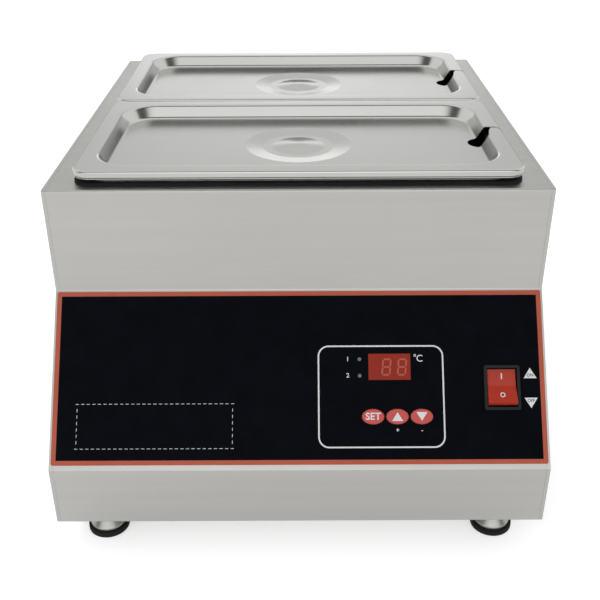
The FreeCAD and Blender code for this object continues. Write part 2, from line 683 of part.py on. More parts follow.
def clamp_stud_places():
    """Studs at the tank's corners and along its middle, clear of the mats."""
    x = TANK_LENGTH / 2 - CLAMP_STUD_INSET
    y = TANK_WIDTH / 2 - CLAMP_STUD_INSET
    corners = [(sx * x, WELL_Y + sy * y) for sx in (-1, 1) for sy in (-1, 1)]
    return corners + [(sx * x, WELL_Y) for sx in (-1, 0, 1)]


def under_tank(thick, top):
    """A sheet under the whole tank with holes for the clamp studs."""
    plate = slab(0, WELL_Y, TANK_LENGTH, TANK_WIDTH, TANK_CORNER, top - thick, top)
    radius = CLAMP_STUD_RADIUS + NUT_CLEARANCE
    holes = [rod(radius, x, y, top - thick - PAST, top + PAST) for x, y in clamp_stud_places()]
    return at_deck(plate.cut(holes))


def clamp_studs():
    """Studs from the tank's floor through insulation and clamp plate."""
    end = CLAMP_PLATE_BOTTOM - SCREW_NUT_HEIGHT - SCREW_END
    return at_deck(group(rod(CLAMP_STUD_RADIUS, x, y, end, TANK_BOTTOM) for x, y in clamp_stud_places()))


def clamp_nuts():
    """Nuts that press the clamp plate up."""
    low, bore = CLAMP_PLATE_BOTTOM - SCREW_NUT_HEIGHT, CLAMP_STUD_RADIUS + NUT_CLEARANCE
    return at_deck(group(hex_nut(x, y, low, SCREW_NUT_ACROSS, SCREW_NUT_HEIGHT, bore)
                         for x, y in clamp_stud_places()))


def hanger_places():
    """Deck studs beside the tank, three on each side."""
    x = HALF_WIDTH - HANGER_STUD_FROM_SIDE
    return [(sx * x, WELL_Y + k * HANGER_SPREAD) for sx in (-1, 1) for k in (-1, 0, 1)]


def tank_hangers():
    """Clips that hold the tank's rim up against the deck, each with a leg beside its stud."""
    clips = []
    for x, y in hanger_places():
        side = math.copysign(1, x)
        inner, outer = TANK_LENGTH / 2 + PANEL_FIT, abs(x) + HANGER_STUD_FROM_SIDE / 2
        low = RIM_BOTTOM - HANGER_THICK
        plate = box(inner, outer, y - HANGER_WIDTH / 2, y + HANGER_WIDTH / 2, low, RIM_BOTTOM)
        leg = box(outer - HANGER_THICK, outer, y - HANGER_WIDTH / 2, y + HANGER_WIDTH / 2, low, -SHEET)
        hole = rod(SCREW_RADIUS + NUT_CLEARANCE, abs(x), y, low - PAST, RIM_BOTTOM + PAST)
        clip = merged(plate, leg).cut(hole)
        clips.append(clip if side > 0 else clip.mirror(ORIGIN, RIGHT))
    return at_deck(group(clips))


def deck_studs():
    """Weld studs on the deck's underside."""
    end = -SHEET - HANGER_STUD_LENGTH
    return at_deck(group(rod(SCREW_RADIUS, x, y, end, -SHEET) for x, y in hanger_places()))


def hanger_nuts():
    """Nuts under the hanger clips."""
    low = RIM_BOTTOM - HANGER_THICK - SCREW_NUT_HEIGHT
    bore = SCREW_RADIUS + NUT_CLEARANCE
    return at_deck(group(hex_nut(x, y, low, SCREW_NUT_ACROSS, SCREW_NUT_HEIGHT, bore)
                         for x, y in hanger_places()))


def temperature_probe():
    """A round sensor lying along the tank's front wall."""
    start = Vector(PROBE_AT_X - PROBE_LENGTH / 2, TANK_FRONT - PROBE_RADIUS, -PROBE_DEPTH)
    return at_deck(Part.makeCylinder(PROBE_RADIUS, PROBE_LENGTH, start, RIGHT))


def probe_clip():
    """A strap over the probe, with an ear above and below it on the tank's wall."""
    x0 = PROBE_AT_X - CLIP_WIDTH / 2
    reach = PROBE_RADIUS + NUT_CLEARANCE
    outer = reach + CLIP_THICK
    centre = Vector(x0, TANK_FRONT - PROBE_RADIUS, -PROBE_DEPTH)
    y0, y1 = TANK_FRONT - PROBE_RADIUS, TANK_FRONT
    hoop = Part.makeCylinder(outer, CLIP_WIDTH, centre, RIGHT)
    legs = box(x0, x0 + CLIP_WIDTH, y0, y1, -PROBE_DEPTH - outer, -PROBE_DEPTH + outer)
    ears = box(x0, x0 + CLIP_WIDTH, y1 - CLIP_THICK, y1, -PROBE_DEPTH - outer - CLIP_EAR,
               -PROBE_DEPTH + outer + CLIP_EAR)
    inside = merged(Part.makeCylinder(reach, CLIP_WIDTH, centre, RIGHT),
                    box(x0, x0 + CLIP_WIDTH, y0, y1 + outer, -PROBE_DEPTH - reach, -PROBE_DEPTH + reach))
    behind = box(x0 - PAST, x0 + CLIP_WIDTH + PAST, y1, y1 + outer + PAST,
                 -PROBE_DEPTH - outer, -PROBE_DEPTH + outer)
    return at_deck(merged(hoop, legs, ears).cut([inside, behind]))


def thermal_cutout():
    """A disc thermostat on the tank's front wall, with its two tabs."""
    facing, seat = Vector(0, -1, 0), Vector(CUTOUT_AT_X, TANK_FRONT, -PROBE_DEPTH)
    cap = Part.makeCylinder(CUTOUT_RADIUS, CUTOUT_HEIGHT / 2, seat, facing)
    base = Part.makeCylinder(CUTOUT_RADIUS * CUTOUT_BASE_SHARE, CUTOUT_HEIGHT, seat, facing)
    width, thick, length = TAB_SIZE
    y = TANK_FRONT - CUTOUT_HEIGHT + thick / 2
    tabs = [centred_box(CUTOUT_AT_X + side * TAB_PITCH / 2, y, width, thick, -PROBE_DEPTH,
                        length - PROBE_DEPTH)
            for side in (-1, 1)]
    return at_deck(merged(cap, base, *tabs))


# The control panel, in its own axes: X right, Y up the slope, Z outwards

def window_opening(gap):
    """The hole for the display window, wider than the window by a gap on each side."""
    length, width = (side + 2 * gap for side in WINDOW_SIZE)
    return on_panel(centred_box(0, 0, length, width, BEHIND, THROUGH), *WINDOW_AT)


def button_openings():
    """The oval holes that the buttons move in."""
    length, width = (side + 2 * PANEL_FIT for side in BUTTON_SIZE)
    hole = oval(length, width, BEHIND, THROUGH)
    return [on_panel(hole, place, BUTTON_ROW) for place in BUTTONS_AT.values()]


def lamp_openings():
    """The round holes for the two lamps."""
    hole = rod(LAMP_RADIUS + NUT_CLEARANCE, 0, 0, BEHIND, THROUGH)
    return [on_panel(hole, LAMP_AT, row) for row in LAMP_ROWS]


def rocker_opening():
    """The hole for the switch's case."""
    hole = slab(0, 0, CASE_X + PANEL_FIT, CASE_Y + PANEL_FIT, SMALL_CORNER, BEHIND, THROUGH)
    return on_panel(hole, *ROCKER_AT)


def panel_overlay():
    """The black film over the whole sloping panel, with its openings."""
    length = BODY_WIDTH - 2 * FILM_SIDE
    width = SLOPE_LENGTH - FILM_TOP - FILM_BOTTOM
    middle = (FILM_TOP + width / 2) / SLOPE_LENGTH
    film = on_panel(slab(0, 0, length, width, FILM_CORNER, 0, FILM_THICK), HALF_WIDTH, middle)
    return film.cut([window_opening(SEAM_GAP), rocker_opening()] + button_openings() + lamp_openings())


def display_window():
    """The clear red window, flush with the film, with a flange behind the sheet."""
    pane = centred_box(0, 0, *WINDOW_SIZE, -SHEET, FILM_THICK)
    flange = centred_box(0, 0, WINDOW_SIZE[0] + 2 * WINDOW_FLANGE, WINDOW_SIZE[1] + 2 * WINDOW_FLANGE,
                         -SHEET - WINDOW_FLANGE_THICK, -SHEET)
    return on_panel(merged(pane, flange), *WINDOW_AT)


def display_module():
    """The digit block behind the window, standing on the board."""
    top = -SHEET - WINDOW_FLANGE_THICK - PANEL_FIT
    length, width = (side - 2 * PANEL_FIT for side in WINDOW_SIZE)
    return on_panel(centred_box(0, 0, length, width, -BOARD_BEHIND, top), *WINDOW_AT)


def indicator_lamps():
    """Two lamps that reach from the board to the face of the film."""
    profile = [(0, -BOARD_BEHIND), (LAMP_RADIUS, -BOARD_BEHIND), (LAMP_RADIUS, FILM_THICK), (0, FILM_THICK)]
    lamp = spun(profile, [0, 0, FILM_THICK, 0], 0, 0)
    return group(on_panel(lamp, LAMP_AT, row) for row in LAMP_ROWS)


def button(name):
    """An oval cap with a retaining flange behind the sheet and a stem to its key switch."""
    length, width = BUTTON_SIZE
    face = FILM_THICK + BUTTON_PROUD
    seat = -SHEET - BUTTON_EASE
    cap = oval(length, width, seat, face)
    rim = [edge for edge in cap.Edges if abs(edge.BoundBox.ZMin - face) < 1e-6]
    cap = cap.makeFillet(BUTTON_ROUND, rim)
    flange = oval(length + 2 * BUTTON_FLANGE[0], width + 2 * BUTTON_FLANGE[1],
                  seat - BUTTON_FLANGE_THICK, seat)
    end = -BOARD_BEHIND + SWITCH_HEIGHT + PLUNGER_HEIGHT + BUTTON_TRAVEL + BUTTON_EASE
    stem = rod(PLUNGER_RADIUS, 0, 0, end, seat)
    return on_panel(merged(cap, flange, stem), BUTTONS_AT[name], BUTTON_ROW)


def key_switches():
    """Three key switches on the board, one under each button."""
    body = centred_box(0, 0, SWITCH_SIZE, SWITCH_SIZE, -BOARD_BEHIND, -BOARD_BEHIND + SWITCH_HEIGHT)
    plunger = rod(PLUNGER_RADIUS, 0, 0, -BOARD_BEHIND, -BOARD_BEHIND + SWITCH_HEIGHT + PLUNGER_HEIGHT)
    key = merged(body, plunger)
    return group(on_panel(key, place, BUTTON_ROW) for place in BUTTONS_AT.values())


def standoff_places():
    """Corners of the board where its standoffs stand, about the board's middle."""
    x, y = BOARD_LENGTH / 2 - STANDOFF_INSET, BOARD_WIDTH / 2 - STANDOFF_INSET
    return [(sx * x, sy * y) for sx in (-1, 1) for sy in (-1, 1)]


def control_board():
    """The circuit board, parallel to the panel."""
    low, high = -BOARD_BEHIND - BOARD_THICK, -BOARD_BEHIND
    board = slab(0, 0, BOARD_LENGTH, BOARD_WIDTH, SMALL_CORNER, low, high)
    holes = [rod(STANDOFF_PIN + NUT_CLEARANCE, x, y, low - PAST, high + PAST) for x, y in standoff_places()]
    return on_panel(board.cut(holes), *BOARD_AT)


def board_standoffs():
    """Posts from the panel's inner face to the board, each with a pin through it."""
    end = -BOARD_BEHIND - BOARD_THICK - STANDOFF_PIN_END
    posts = [merged(rod(STANDOFF_RADIUS, x, y, -BOARD_BEHIND, -SHEET), rod(STANDOFF_PIN, x, y, end, -SHEET))
             for x, y in standoff_places()]
    return on_panel(group(posts), *BOARD_AT)


def relay():
    """The relay on the back of the board."""
    top = -BOARD_BEHIND - BOARD_THICK
    body = slab(0, 0, RELAY_SIZE[0], RELAY_SIZE[1], SMALL_CORNER, top - RELAY_SIZE[2], top)
    return on_panel(body, *RELAY_AT)


def rocker_case():
    """The switch's black case: bezel on the film, box through the panel, holes for the trunnions."""
    bezel = slab(0, 0, *BEZEL_SIZE, BEZEL_CORNER, FILM_THICK, FILM_THICK + BEZEL_THICK)
    shell = slab(0, 0, CASE_X, CASE_Y, SMALL_CORNER, -ROCKER_CASE_DEPTH, FILM_THICK)
    inside = centred_box(0, 0, CASE_X - 2 * ROCKER_CASE_WALL, CASE_Y - 2 * ROCKER_CASE_WALL,
                         -ROCKER_CASE_DEPTH + 2 * ROCKER_CASE_WALL, THROUGH + BEZEL_THICK)
    bore = Part.makeCylinder(TRUNNION_RADIUS + TRUNNION_CLEARANCE, CASE_X + 2 * PAST,
                             Vector(-CASE_X / 2 - PAST, 0, -ROCKER_PIVOT), RIGHT)
    return on_panel(merged(bezel, shell).cut([inside, bore]), *ROCKER_AT)


def rocker():
    """The red rocker at rest with its upper end pressed in: a shallow V whose ends turn about the pivot."""
    half = ROCKER_WIDTH / 2
    rise = (ROCKER_CREST - ROCKER_DIP) / ROCKER_REACH
    wide, narrow, low = ROCKER_SWEEP + PAST, ROCKER_REACH - ROCKER_TAPER, -ROCKER_PIVOT - ROCKER_SKIRT
    outline = [(-wide, ROCKER_DIP + rise * wide), (0, ROCKER_DIP), (wide, ROCKER_DIP + rise * wide),
               (narrow, low), (-narrow, low)]
    radii = [0, ROCKER_HOLLOW, 0, SMALL_CORNER, SMALL_CORNER]
    section = Part.Face(soft_polygon([Vector(-half, y, z) for y, z in outline], radii))
    pivot = Vector(-half, 0, -ROCKER_PIVOT)
    drum = Part.makeCylinder(ROCKER_SWEEP, ROCKER_WIDTH, pivot, RIGHT)
    body = section.extrude(Vector(ROCKER_WIDTH, 0, 0)).common(drum)
    rims = [edge for edge in body.Edges
            if abs(edge.BoundBox.XMax - edge.BoundBox.XMin) < 1e-6 and edge.BoundBox.ZMin > 0]
    body = body.makeFillet(ROCKER_ROUND, rims)
    axle = Part.makeCylinder(TRUNNION_RADIUS, CASE_X, Vector(-CASE_X / 2, 0, -ROCKER_PIVOT), RIGHT)
    body = merged(body, axle)
    body.rotate(pivot, RIGHT, -ROCKER_TILT)
    return on_panel(body, *ROCKER_AT)


def rocker_blades():
    """Four blade terminals behind the switch case."""
    blade = centred_box(0, 0, BLADE_SIZE[0], BLADE_SIZE[1], -ROCKER_CASE_DEPTH - BLADE_SIZE[2],
                        -ROCKER_CASE_DEPTH)
    places = [Vector(sx * BLADE_PITCH, sy * BLADE_PITCH, 0) for sx in (-1, 1) for sy in (-1, 1)]
    return on_panel(group(blade.translated(place) for place in places), *ROCKER_AT)


# Inlet, wiring pieces and feet

def inlet_screw_places():
    """Screws of the inlet, as X and height on the rear wall."""
    return [(INLET_AT[0] + side * INLET_SCREW_PITCH / 2, INLET_AT[1]) for side in (-1, 1)]


def power_inlet():
    """The mains inlet: flange outside the rear wall, body through it, keyed cavity."""
    mouth = INLET_FLANGE_THICK + PAST
    length = INLET_SCREW_PITCH + 2 * INLET_EAR
    flange = slab(0, 0, length, INLET_FLANGE_HEIGHT, INLET_CORNERS[0], 0, INLET_FLANGE_THICK)
    body = slab(0, 0, *INLET_BODY, INLET_CORNERS[1], -INLET_DEPTH, 0)
    cavity = slab(0, 0, *INLET_CAVITY, INLET_CORNERS[2], -INLET_DEPTH + INLET_FLOOR, mouth)
    holes = [rod(SCREW_RADIUS + NUT_CLEARANCE, side * INLET_SCREW_PITCH / 2, 0, -PAST, mouth)
             for side in (-1, 1)]
    return on_rear(merged(flange, body).cut([cavity] + holes), *INLET_AT)


def inlet_pins():
    """Three pins in the inlet's cavity and their tabs behind it."""
    places = [(-PIN_PITCH, -PIN_OFFSET), (0, PIN_OFFSET), (PIN_PITCH, -PIN_OFFSET)]
    floor = -INLET_DEPTH + INLET_FLOOR
    solids = []
    for x, y in places:
        solids.append(centred_box(x, y, *PIN_SIZE, floor, INLET_FLANGE_THICK - PIN_SHORT_OF_MOUTH))
        solids.append(centred_box(x, y, *PIN_SIZE, -INLET_DEPTH - TAB_LENGTH, -INLET_DEPTH))
    return on_rear(group(solids), *INLET_AT)


def inlet_screws():
    """Two countersunk screws, flush with the inlet's flange."""
    end = -SHEET - SCREW_NUT_HEIGHT - SCREW_END
    screw = rod(SCREW_RADIUS, 0, 0, end, INLET_FLANGE_THICK)
    return group(on_rear(screw, *place) for place in inlet_screw_places())


def inlet_nuts():
    """Nuts on the inlet screws, inside the rear wall."""
    nut = hex_nut(0, 0, -SHEET - SCREW_NUT_HEIGHT, SCREW_NUT_ACROSS, SCREW_NUT_HEIGHT,
                  SCREW_RADIUS + NUT_CLEARANCE)
    return group(on_rear(nut, *place) for place in inlet_screw_places())


def terminal_block():
    """The screw terminal block on the base plate, with a well for each screw."""
    length, width, height = BLOCK_SIZE
    x, y = HALF_WIDTH - BLOCK_FROM_CORNER[0], Y_REAR - BLOCK_FROM_CORNER[1]
    block = centred_box(x, y, length, width, BASE_TOP, BASE_TOP + height)
    pitch = length / BLOCK_WAYS
    wells = []
    for k in range(BLOCK_WAYS):
        for side in (-1, 1):
            wx = x + (k - (BLOCK_WAYS - 1) / 2) * pitch
            wy = y + side * width / 4
            wells.append(rod(BLOCK_WELL, wx, wy, BASE_TOP + height / 2, BASE_TOP + height + PAST))
    return block.cut(wells)


def earth_stud():
    """The earth bolt on the base plate."""
    x, y = HALF_WIDTH - EARTH_FROM_CORNER[0], Y_REAR - EARTH_FROM_CORNER[1]
    nut = hex_nut(x, y, BASE_TOP, SCREW_NUT_ACROSS, SCREW_NUT_HEIGHT, SCREW_RADIUS - EARTH_NUT_LAP)
    return merged(nut, rod(SCREW_RADIUS, x, y, BASE_TOP, BASE_TOP + EARTH_LENGTH))


def foot_metal(x, y):
    """The turned foot: flared dish, neck and threaded stud."""
    low, neck_top = FOOT_PAD_HEIGHT, Z_BASE - FOOT_NECK_GAP
    shoulder = low + FOOT_DISH_EDGE
    stud_top = BASE_TOP + FOOT_NUT_HEIGHT + STUD_END
    flare_top = (shoulder + 2 * neck_top) / 3
    profile = [(0, low), (FOOT_DISH_RADIUS, low), (FOOT_DISH_RADIUS, shoulder), (FOOT_NECK_RADIUS, flare_top),
               (FOOT_NECK_RADIUS, neck_top), (STUD_RADIUS, neck_top), (STUD_RADIUS, stud_top), (0, stud_top)]
    rounds = [0, 0, FOOT_DISH_ROUND, FOOT_FLARE_ROUND, SMALL_CORNER, 0, SMALL_CORNER, 0]
    return spun(profile, rounds, x, y)


def foot_pad(x, y):
    """The rubber ring and sole under the dish."""
    profile = [(0, 0), (FOOT_PAD_RADIUS, 0), (FOOT_PAD_RADIUS, FOOT_PAD_HEIGHT), (0, FOOT_PAD_HEIGHT)]
    return spun(profile, [0, SMALL_CORNER, FOOT_DISH_ROUND, 0], x, y)


def foot_nuts():
    """Nuts above the base plate in which the feet turn."""
    bore = STUD_RADIUS + STUD_CLEARANCE
    return group(hex_nut(x, y, BASE_TOP, FOOT_NUT_ACROSS, FOOT_NUT_HEIGHT, bore)
                 for x, y in feet_places().values())


def build():
    """Every piece by its node name."""
    parts = {
        "housing_wrap": housing_wrap(),
        "side_panel_left": side_panel(-1),
        "side_panel_right": side_panel(1),
        "base_plate": base_plate(),
        "base_screws": base_screws(),
        "base_nuts": base_nuts(),
        "tank": tank(),
        "pan_divider": pan_divider(),
        "tank_seal": tank_seal(),
        "heater_mat_front": heater_mat("front"),
        "heater_mat_rear": heater_mat("rear"),
        "insulation_pad": under_tank(INSULATION_THICK, MAT_BOTTOM),
        "clamp_plate": under_tank(CLAMP_PLATE_THICK, INSULATION_BOTTOM),
        "clamp_studs": clamp_studs(),
        "clamp_nuts": clamp_nuts(),
        "tank_hangers": tank_hangers(),
        "deck_studs": deck_studs(),
        "hanger_nuts": hanger_nuts(),
        "temperature_probe": temperature_probe(),
        "probe_clip": probe_clip(),
        "thermal_cutout": thermal_cutout(),
        "panel_overlay": panel_overlay(),
        "display_window": display_window(),
        "display_module": display_module(),
        "indicator_lamps": indicator_lamps(),
        "key_switches": key_switches(),
        "control_board": control_board(),
        "board_standoffs": board_standoffs(),
        "relay": relay(),
        "rocker_case": rocker_case(),
        "rocker": rocker(),
        "rocker_blades": rocker_blades(),
        "power_inlet": power_inlet(),
        "inlet_pins": inlet_pins(),
        "inlet_screws": inlet_screws(),
        "inlet_nuts": inlet_nuts(),
        "terminal_block": terminal_block(),
        "earth_stud": earth_stud(),
        "foot_nuts": foot_nuts(),
    }
    for name in BUTTONS_AT:
        parts[name] = button(name)
    for place in PAN_Y:
        parts[f"pan_{place}"] = pan(place)
        parts[f"lid_{place}"] = lid(place)
    for name, (x, y) in feet_places().items():
        parts[f"foot_{name}"] = foot_metal(x, y)
        parts[f"foot_pad_{name}"] = foot_pad(x, y)
    return parts


os.makedirs("parts", exist_ok=True)
PARTS = build()
for node, shape in PARTS.items():
    shape.exportStep(f"parts/{node}.step")
    print(f"{node}: {len(shape.Solids)} solid(s), volume {shape.Volume:.0f}, valid {shape.isValid()}")
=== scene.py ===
"""Dresses the two-pan chocolate melter: its finishes, the smooth pressings of its lids and pans, and the
prints on its panel.

Metres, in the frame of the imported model: X to the right, the control panel facing -Y, Z up from the
surface that the feet stand on. Prints on the sloping panel are laid out in the panel's own axes: X to
the right, Y up the slope and Z out of the film, with places given as X and the distance down from the
bend. The fields of the melter's parts are in millimetres.
"""

import json
import logging
import math
from dataclasses import dataclass, field
from enum import Enum

import bpy
import numpy as np
from mathutils import Matrix, Vector


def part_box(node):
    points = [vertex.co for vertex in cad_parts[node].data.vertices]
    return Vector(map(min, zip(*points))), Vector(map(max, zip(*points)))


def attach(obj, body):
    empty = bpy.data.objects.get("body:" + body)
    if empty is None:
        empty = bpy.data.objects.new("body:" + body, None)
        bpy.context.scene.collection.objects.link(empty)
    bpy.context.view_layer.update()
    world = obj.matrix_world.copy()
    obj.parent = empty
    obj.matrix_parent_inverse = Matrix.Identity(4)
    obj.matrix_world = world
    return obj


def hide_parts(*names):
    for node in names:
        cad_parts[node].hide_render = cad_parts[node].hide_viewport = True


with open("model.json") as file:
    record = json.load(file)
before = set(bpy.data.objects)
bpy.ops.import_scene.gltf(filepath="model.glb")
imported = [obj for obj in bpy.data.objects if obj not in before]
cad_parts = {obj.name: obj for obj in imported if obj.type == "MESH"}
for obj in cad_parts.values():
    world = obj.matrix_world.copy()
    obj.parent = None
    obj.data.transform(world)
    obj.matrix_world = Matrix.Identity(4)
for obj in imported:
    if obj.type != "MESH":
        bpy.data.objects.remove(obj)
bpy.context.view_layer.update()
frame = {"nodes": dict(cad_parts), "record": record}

MM = 0.001
LOG = logging.getLogger("melter")

# Thickness of a print.
INK = 0.03 * MM
# Bends that turn further than this are shaded sharp, so that a sheet's cut edges stay crisp.
SHARP_ANGLE = math.radians(40)
# The inner corners of a printed line never get rounder than this.
LEAST_CORNER = 0.1 * MM
# Steps in each curve of a letter.
TYPE_STEPS = 3
# A Mix node repeats its sockets' names for each kind of data, so they are taken by number.
FLOAT_A, FLOAT_B = 2, 3
COLOUR_A, COLOUR_B, COLOUR_OUT = 6, 7, 2

Colour = tuple[float, float, float]
Place = tuple[float, float]
Span = tuple[float, float]
Shape = tuple[np.ndarray, np.ndarray]


# Node trees

class Tree:
    """Adds nodes to one node tree and joins them."""

    def __init__(self, tree: bpy.types.NodeTree) -> None:
        """Keep the tree that the nodes go into."""
        self.tree = tree

    def add(self, kind: str, values: dict | None = None, **settings: object) -> bpy.types.Node:
        """Add one node.

        Args:
            kind: The node's type without the 'ShaderNode' in front.
            values: Value or output socket for each input, by the input's name or number.
            settings: The node's own properties.

        Returns:
            The new node.
        """
        node = self.tree.nodes.new("ShaderNode" + kind)
        for key, value in settings.items():
            setattr(node, key, value)
        for key, value in (values or {}).items():
            if isinstance(value, bpy.types.NodeSocket):
                self.tree.links.new(value, node.inputs[key])
            else:
                node.inputs[key].default_value = value
        return node

    def join(self, source: bpy.types.NodeSocket, target: bpy.types.NodeSocket) -> None:
        """Join an output to an input."""
        self.tree.links.new(source, target)


class Effects:
    """The shader node groups that several finishes share, each made once."""

    # Two noises about 0.5 multiply to about 0.25, so their product is doubled.
    TONE_GAIN = 2.0
    # The part of the cloudy noise that is spread over the whole of a finish's range.
    CLOUD_SPAN = (0.3, 0.7)

    def __init__(self) -> None:
        """Build the three groups."""
        self.grain = self._grain()
        self.handling = self._handling()
        self.skin = self._skin()

    @staticmethod
    def _group(name: str, inputs: dict[str, str], outputs: dict[str, str]) -> tuple:
        """Make an empty group.

        Args:
            name: The group's name.
            inputs: Socket type for each input's name.
            outputs: Socket type for each output's name.

        Returns:
            The group, its Tree, its input node and its output node.
        """
        group = bpy.data.node_groups.new(name, "ShaderNodeTree")
        for key, kind in inputs.items():
            group.interface.new_socket(key, in_out="INPUT", socket_type="NodeSocket" + kind)
        for key, kind in outputs.items():
            group.interface.new_socket(key, in_out="OUTPUT", socket_type="NodeSocket" + kind)
        return group, Tree(group), group.nodes.new("NodeGroupInput"), group.nodes.new("NodeGroupOutput")

    def _grain(self) -> bpy.types.NodeTree:
        """Long fine scratches: noise stretched along one axis, in a coarse and a fine layer."""
        group, tree, inside, out = self._group(
            "brushed grain", {"Position": "Vector", "Stretch": "Vector"},
            {"Height": "Float", "Tone": "Float"})
        drawn = tree.add("VectorMath", {0: inside.outputs["Position"], 1: inside.outputs["Stretch"]},
                         operation="MULTIPLY")
        fine = tree.add("TexNoise", {"Vector": drawn.outputs[0], "Scale": 1.0, "Detail": 4.0,
                                     "Roughness": 0.7})
        broad = tree.add("TexNoise", {"Vector": drawn.outputs[0], "Scale": 0.09, "Detail": 2.0,
                                      "Roughness": 0.5})
        tree.join(fine.outputs[0], out.inputs["Height"])
        tone = tree.add("Math", {0: fine.outputs[0], 1: broad.outputs[0]}, operation="MULTIPLY")
        lifted = tree.add("Math", {0: tone.outputs[0], 1: self.TONE_GAIN}, operation="MULTIPLY")
        tree.join(lifted.outputs[0], out.inputs["Tone"])
        return group

    def _handling(self) -> bpy.types.NodeTree:
        """Soft cloudy changes between a low and a high value, as wiped metal and plastic show."""
        group, tree, inside, out = self._group(
            "handling marks", {"Position": "Vector", "Scale": "Float", "Low": "Float", "High": "Float"},
            {"Value": "Float"})
        given = inside.outputs
        low, high = self.CLOUD_SPAN
        cloud = tree.add("TexNoise", {"Vector": given["Position"], "Scale": given["Scale"],
                                      "Detail": 5.0, "Roughness": 0.62})
        spread = tree.add("MapRange", {"Value": cloud.outputs[0], "From Min": low, "From Max": high,
                                       "To Min": given["Low"], "To Max": given["High"]})
        tree.join(spread.outputs[0], out.inputs["Value"])
        return group

    def _skin(self) -> bpy.types.NodeTree:
        """The pebbled skin of a moulding: small cells softened by noise."""
        group, tree, inside, out = self._group(
            "moulded skin", {"Position": "Vector", "Scale": "Float"}, {"Height": "Float"})
        given = inside.outputs
        cells = tree.add("TexVoronoi", {"Vector": given["Position"], "Scale": given["Scale"]})
        haze = tree.add("TexNoise", {"Vector": given["Position"], "Scale": given["Scale"],
                                     "Detail": 3.0})
        both = tree.add("Math", {0: cells.outputs["Distance"], 1: haze.outputs[0]}, operation="ADD")
        tree.join(both.outputs[0], out.inputs["Height"])
        return group


# Finishes

class Grain(Enum):
    """The way that a sheet was brushed, as the stretch of its scratches per metre along X, Y and Z."""

    ALONG_WIDTH = (14.0, 1500.0, 1500.0)
    ALONG_DEPTH = (1500.0, 14.0, 1500.0)
    ROUND_AXIS = (30.0, 30.0, 2600.0)


def shade(colour: Colour, factor: float) -> tuple[float, float, float, float]:
    """A colour times a factor, with full alpha."""
    return (*(min(1.0, channel * factor) for channel in colour), 1.0)


@dataclass(frozen=True)
class Finish:
    """What every finish has: a name, its colour and how glossy it is."""

    name: str
    colour: Colour
    roughness: float

    def start(self) -> tuple[bpy.types.Material, Tree, bpy.types.Node, bpy.types.NodeSocket]:
        """Make the material with its Principled shader.

        Returns:
            The material, its Tree, the shader node and the Object coordinates.
        """
        material = bpy.data.materials.new(self.name)
        material.use_nodes = True
        material.node_tree.nodes.clear()
        tree = Tree(material.node_tree)
        shader = tree.add("BsdfPrincipled",
                          {"Base Color": (*self.colour, 1.0), "Roughness": self.roughness})
        out = tree.add("OutputMaterial")
        tree.join(shader.outputs[0], out.inputs["Surface"])
        return material, tree, shader, tree.add("TexCoord").outputs["Object"]

    def cloud(self, effects: Effects, tree: Tree, position: bpy.types.NodeSocket, scale: float,
              low: float, high: float) -> bpy.types.NodeSocket:
        """Place the handling marks between two values.

        Args:
            effects: The shared groups.
            tree: The material's tree.
            position: The coordinates that the marks lie in.
            scale: Marks per metre.
            low: Value in the marks' hollows.
            high: Value on the marks.

        Returns:
            The changing value.
        """
        marks = tree.add("Group", node_tree=effects.handling)
        tree.join(position, marks.inputs["Position"])
        for key, value in (("Scale", scale), ("Low", low), ("High", high)):
            marks.inputs[key].default_value = value
        return marks.outputs["Value"]

    def tones(self, tree: Tree, factor: bpy.types.NodeSocket, spread: float) -> bpy.types.NodeSocket:
        """Vary the colour about its own tone.

        Args:
            tree: The material's tree.
            factor: The mask that picks between the darker and the lighter tone.
            spread: How far the two tones lie from the finish's colour, as a share.

        Returns:
            The changing colour.
        """
        mix = tree.add("Mix", data_type="RGBA")
        tree.join(factor, mix.inputs["Factor"])
        mix.inputs[COLOUR_A].default_value = shade(self.colour, 1 - spread)
        mix.inputs[COLOUR_B].default_value = shade(self.colour, 1 + spread)
        return mix.outputs[COLOUR_OUT]

    def relief(self, tree: Tree, height: bpy.types.NodeSocket, strength: float, depth: float,
               under: bpy.types.NodeSocket | None = None) -> bpy.types.NodeSocket:
        """Turn a height into a bumped normal.

        Args:
            tree: The material's tree.
            height: The height over the surface.
            strength: Strength of the bump.
            depth: Depth of the relief.
            under: A normal that the relief lies on.

        Returns:
            The normal.
        """
        bump = tree.add("Bump", {"Height": height, "Strength": strength, "Distance": depth})
        if under is not None:
            tree.join(under, bump.inputs["Normal"])
        return bump.outputs[0]


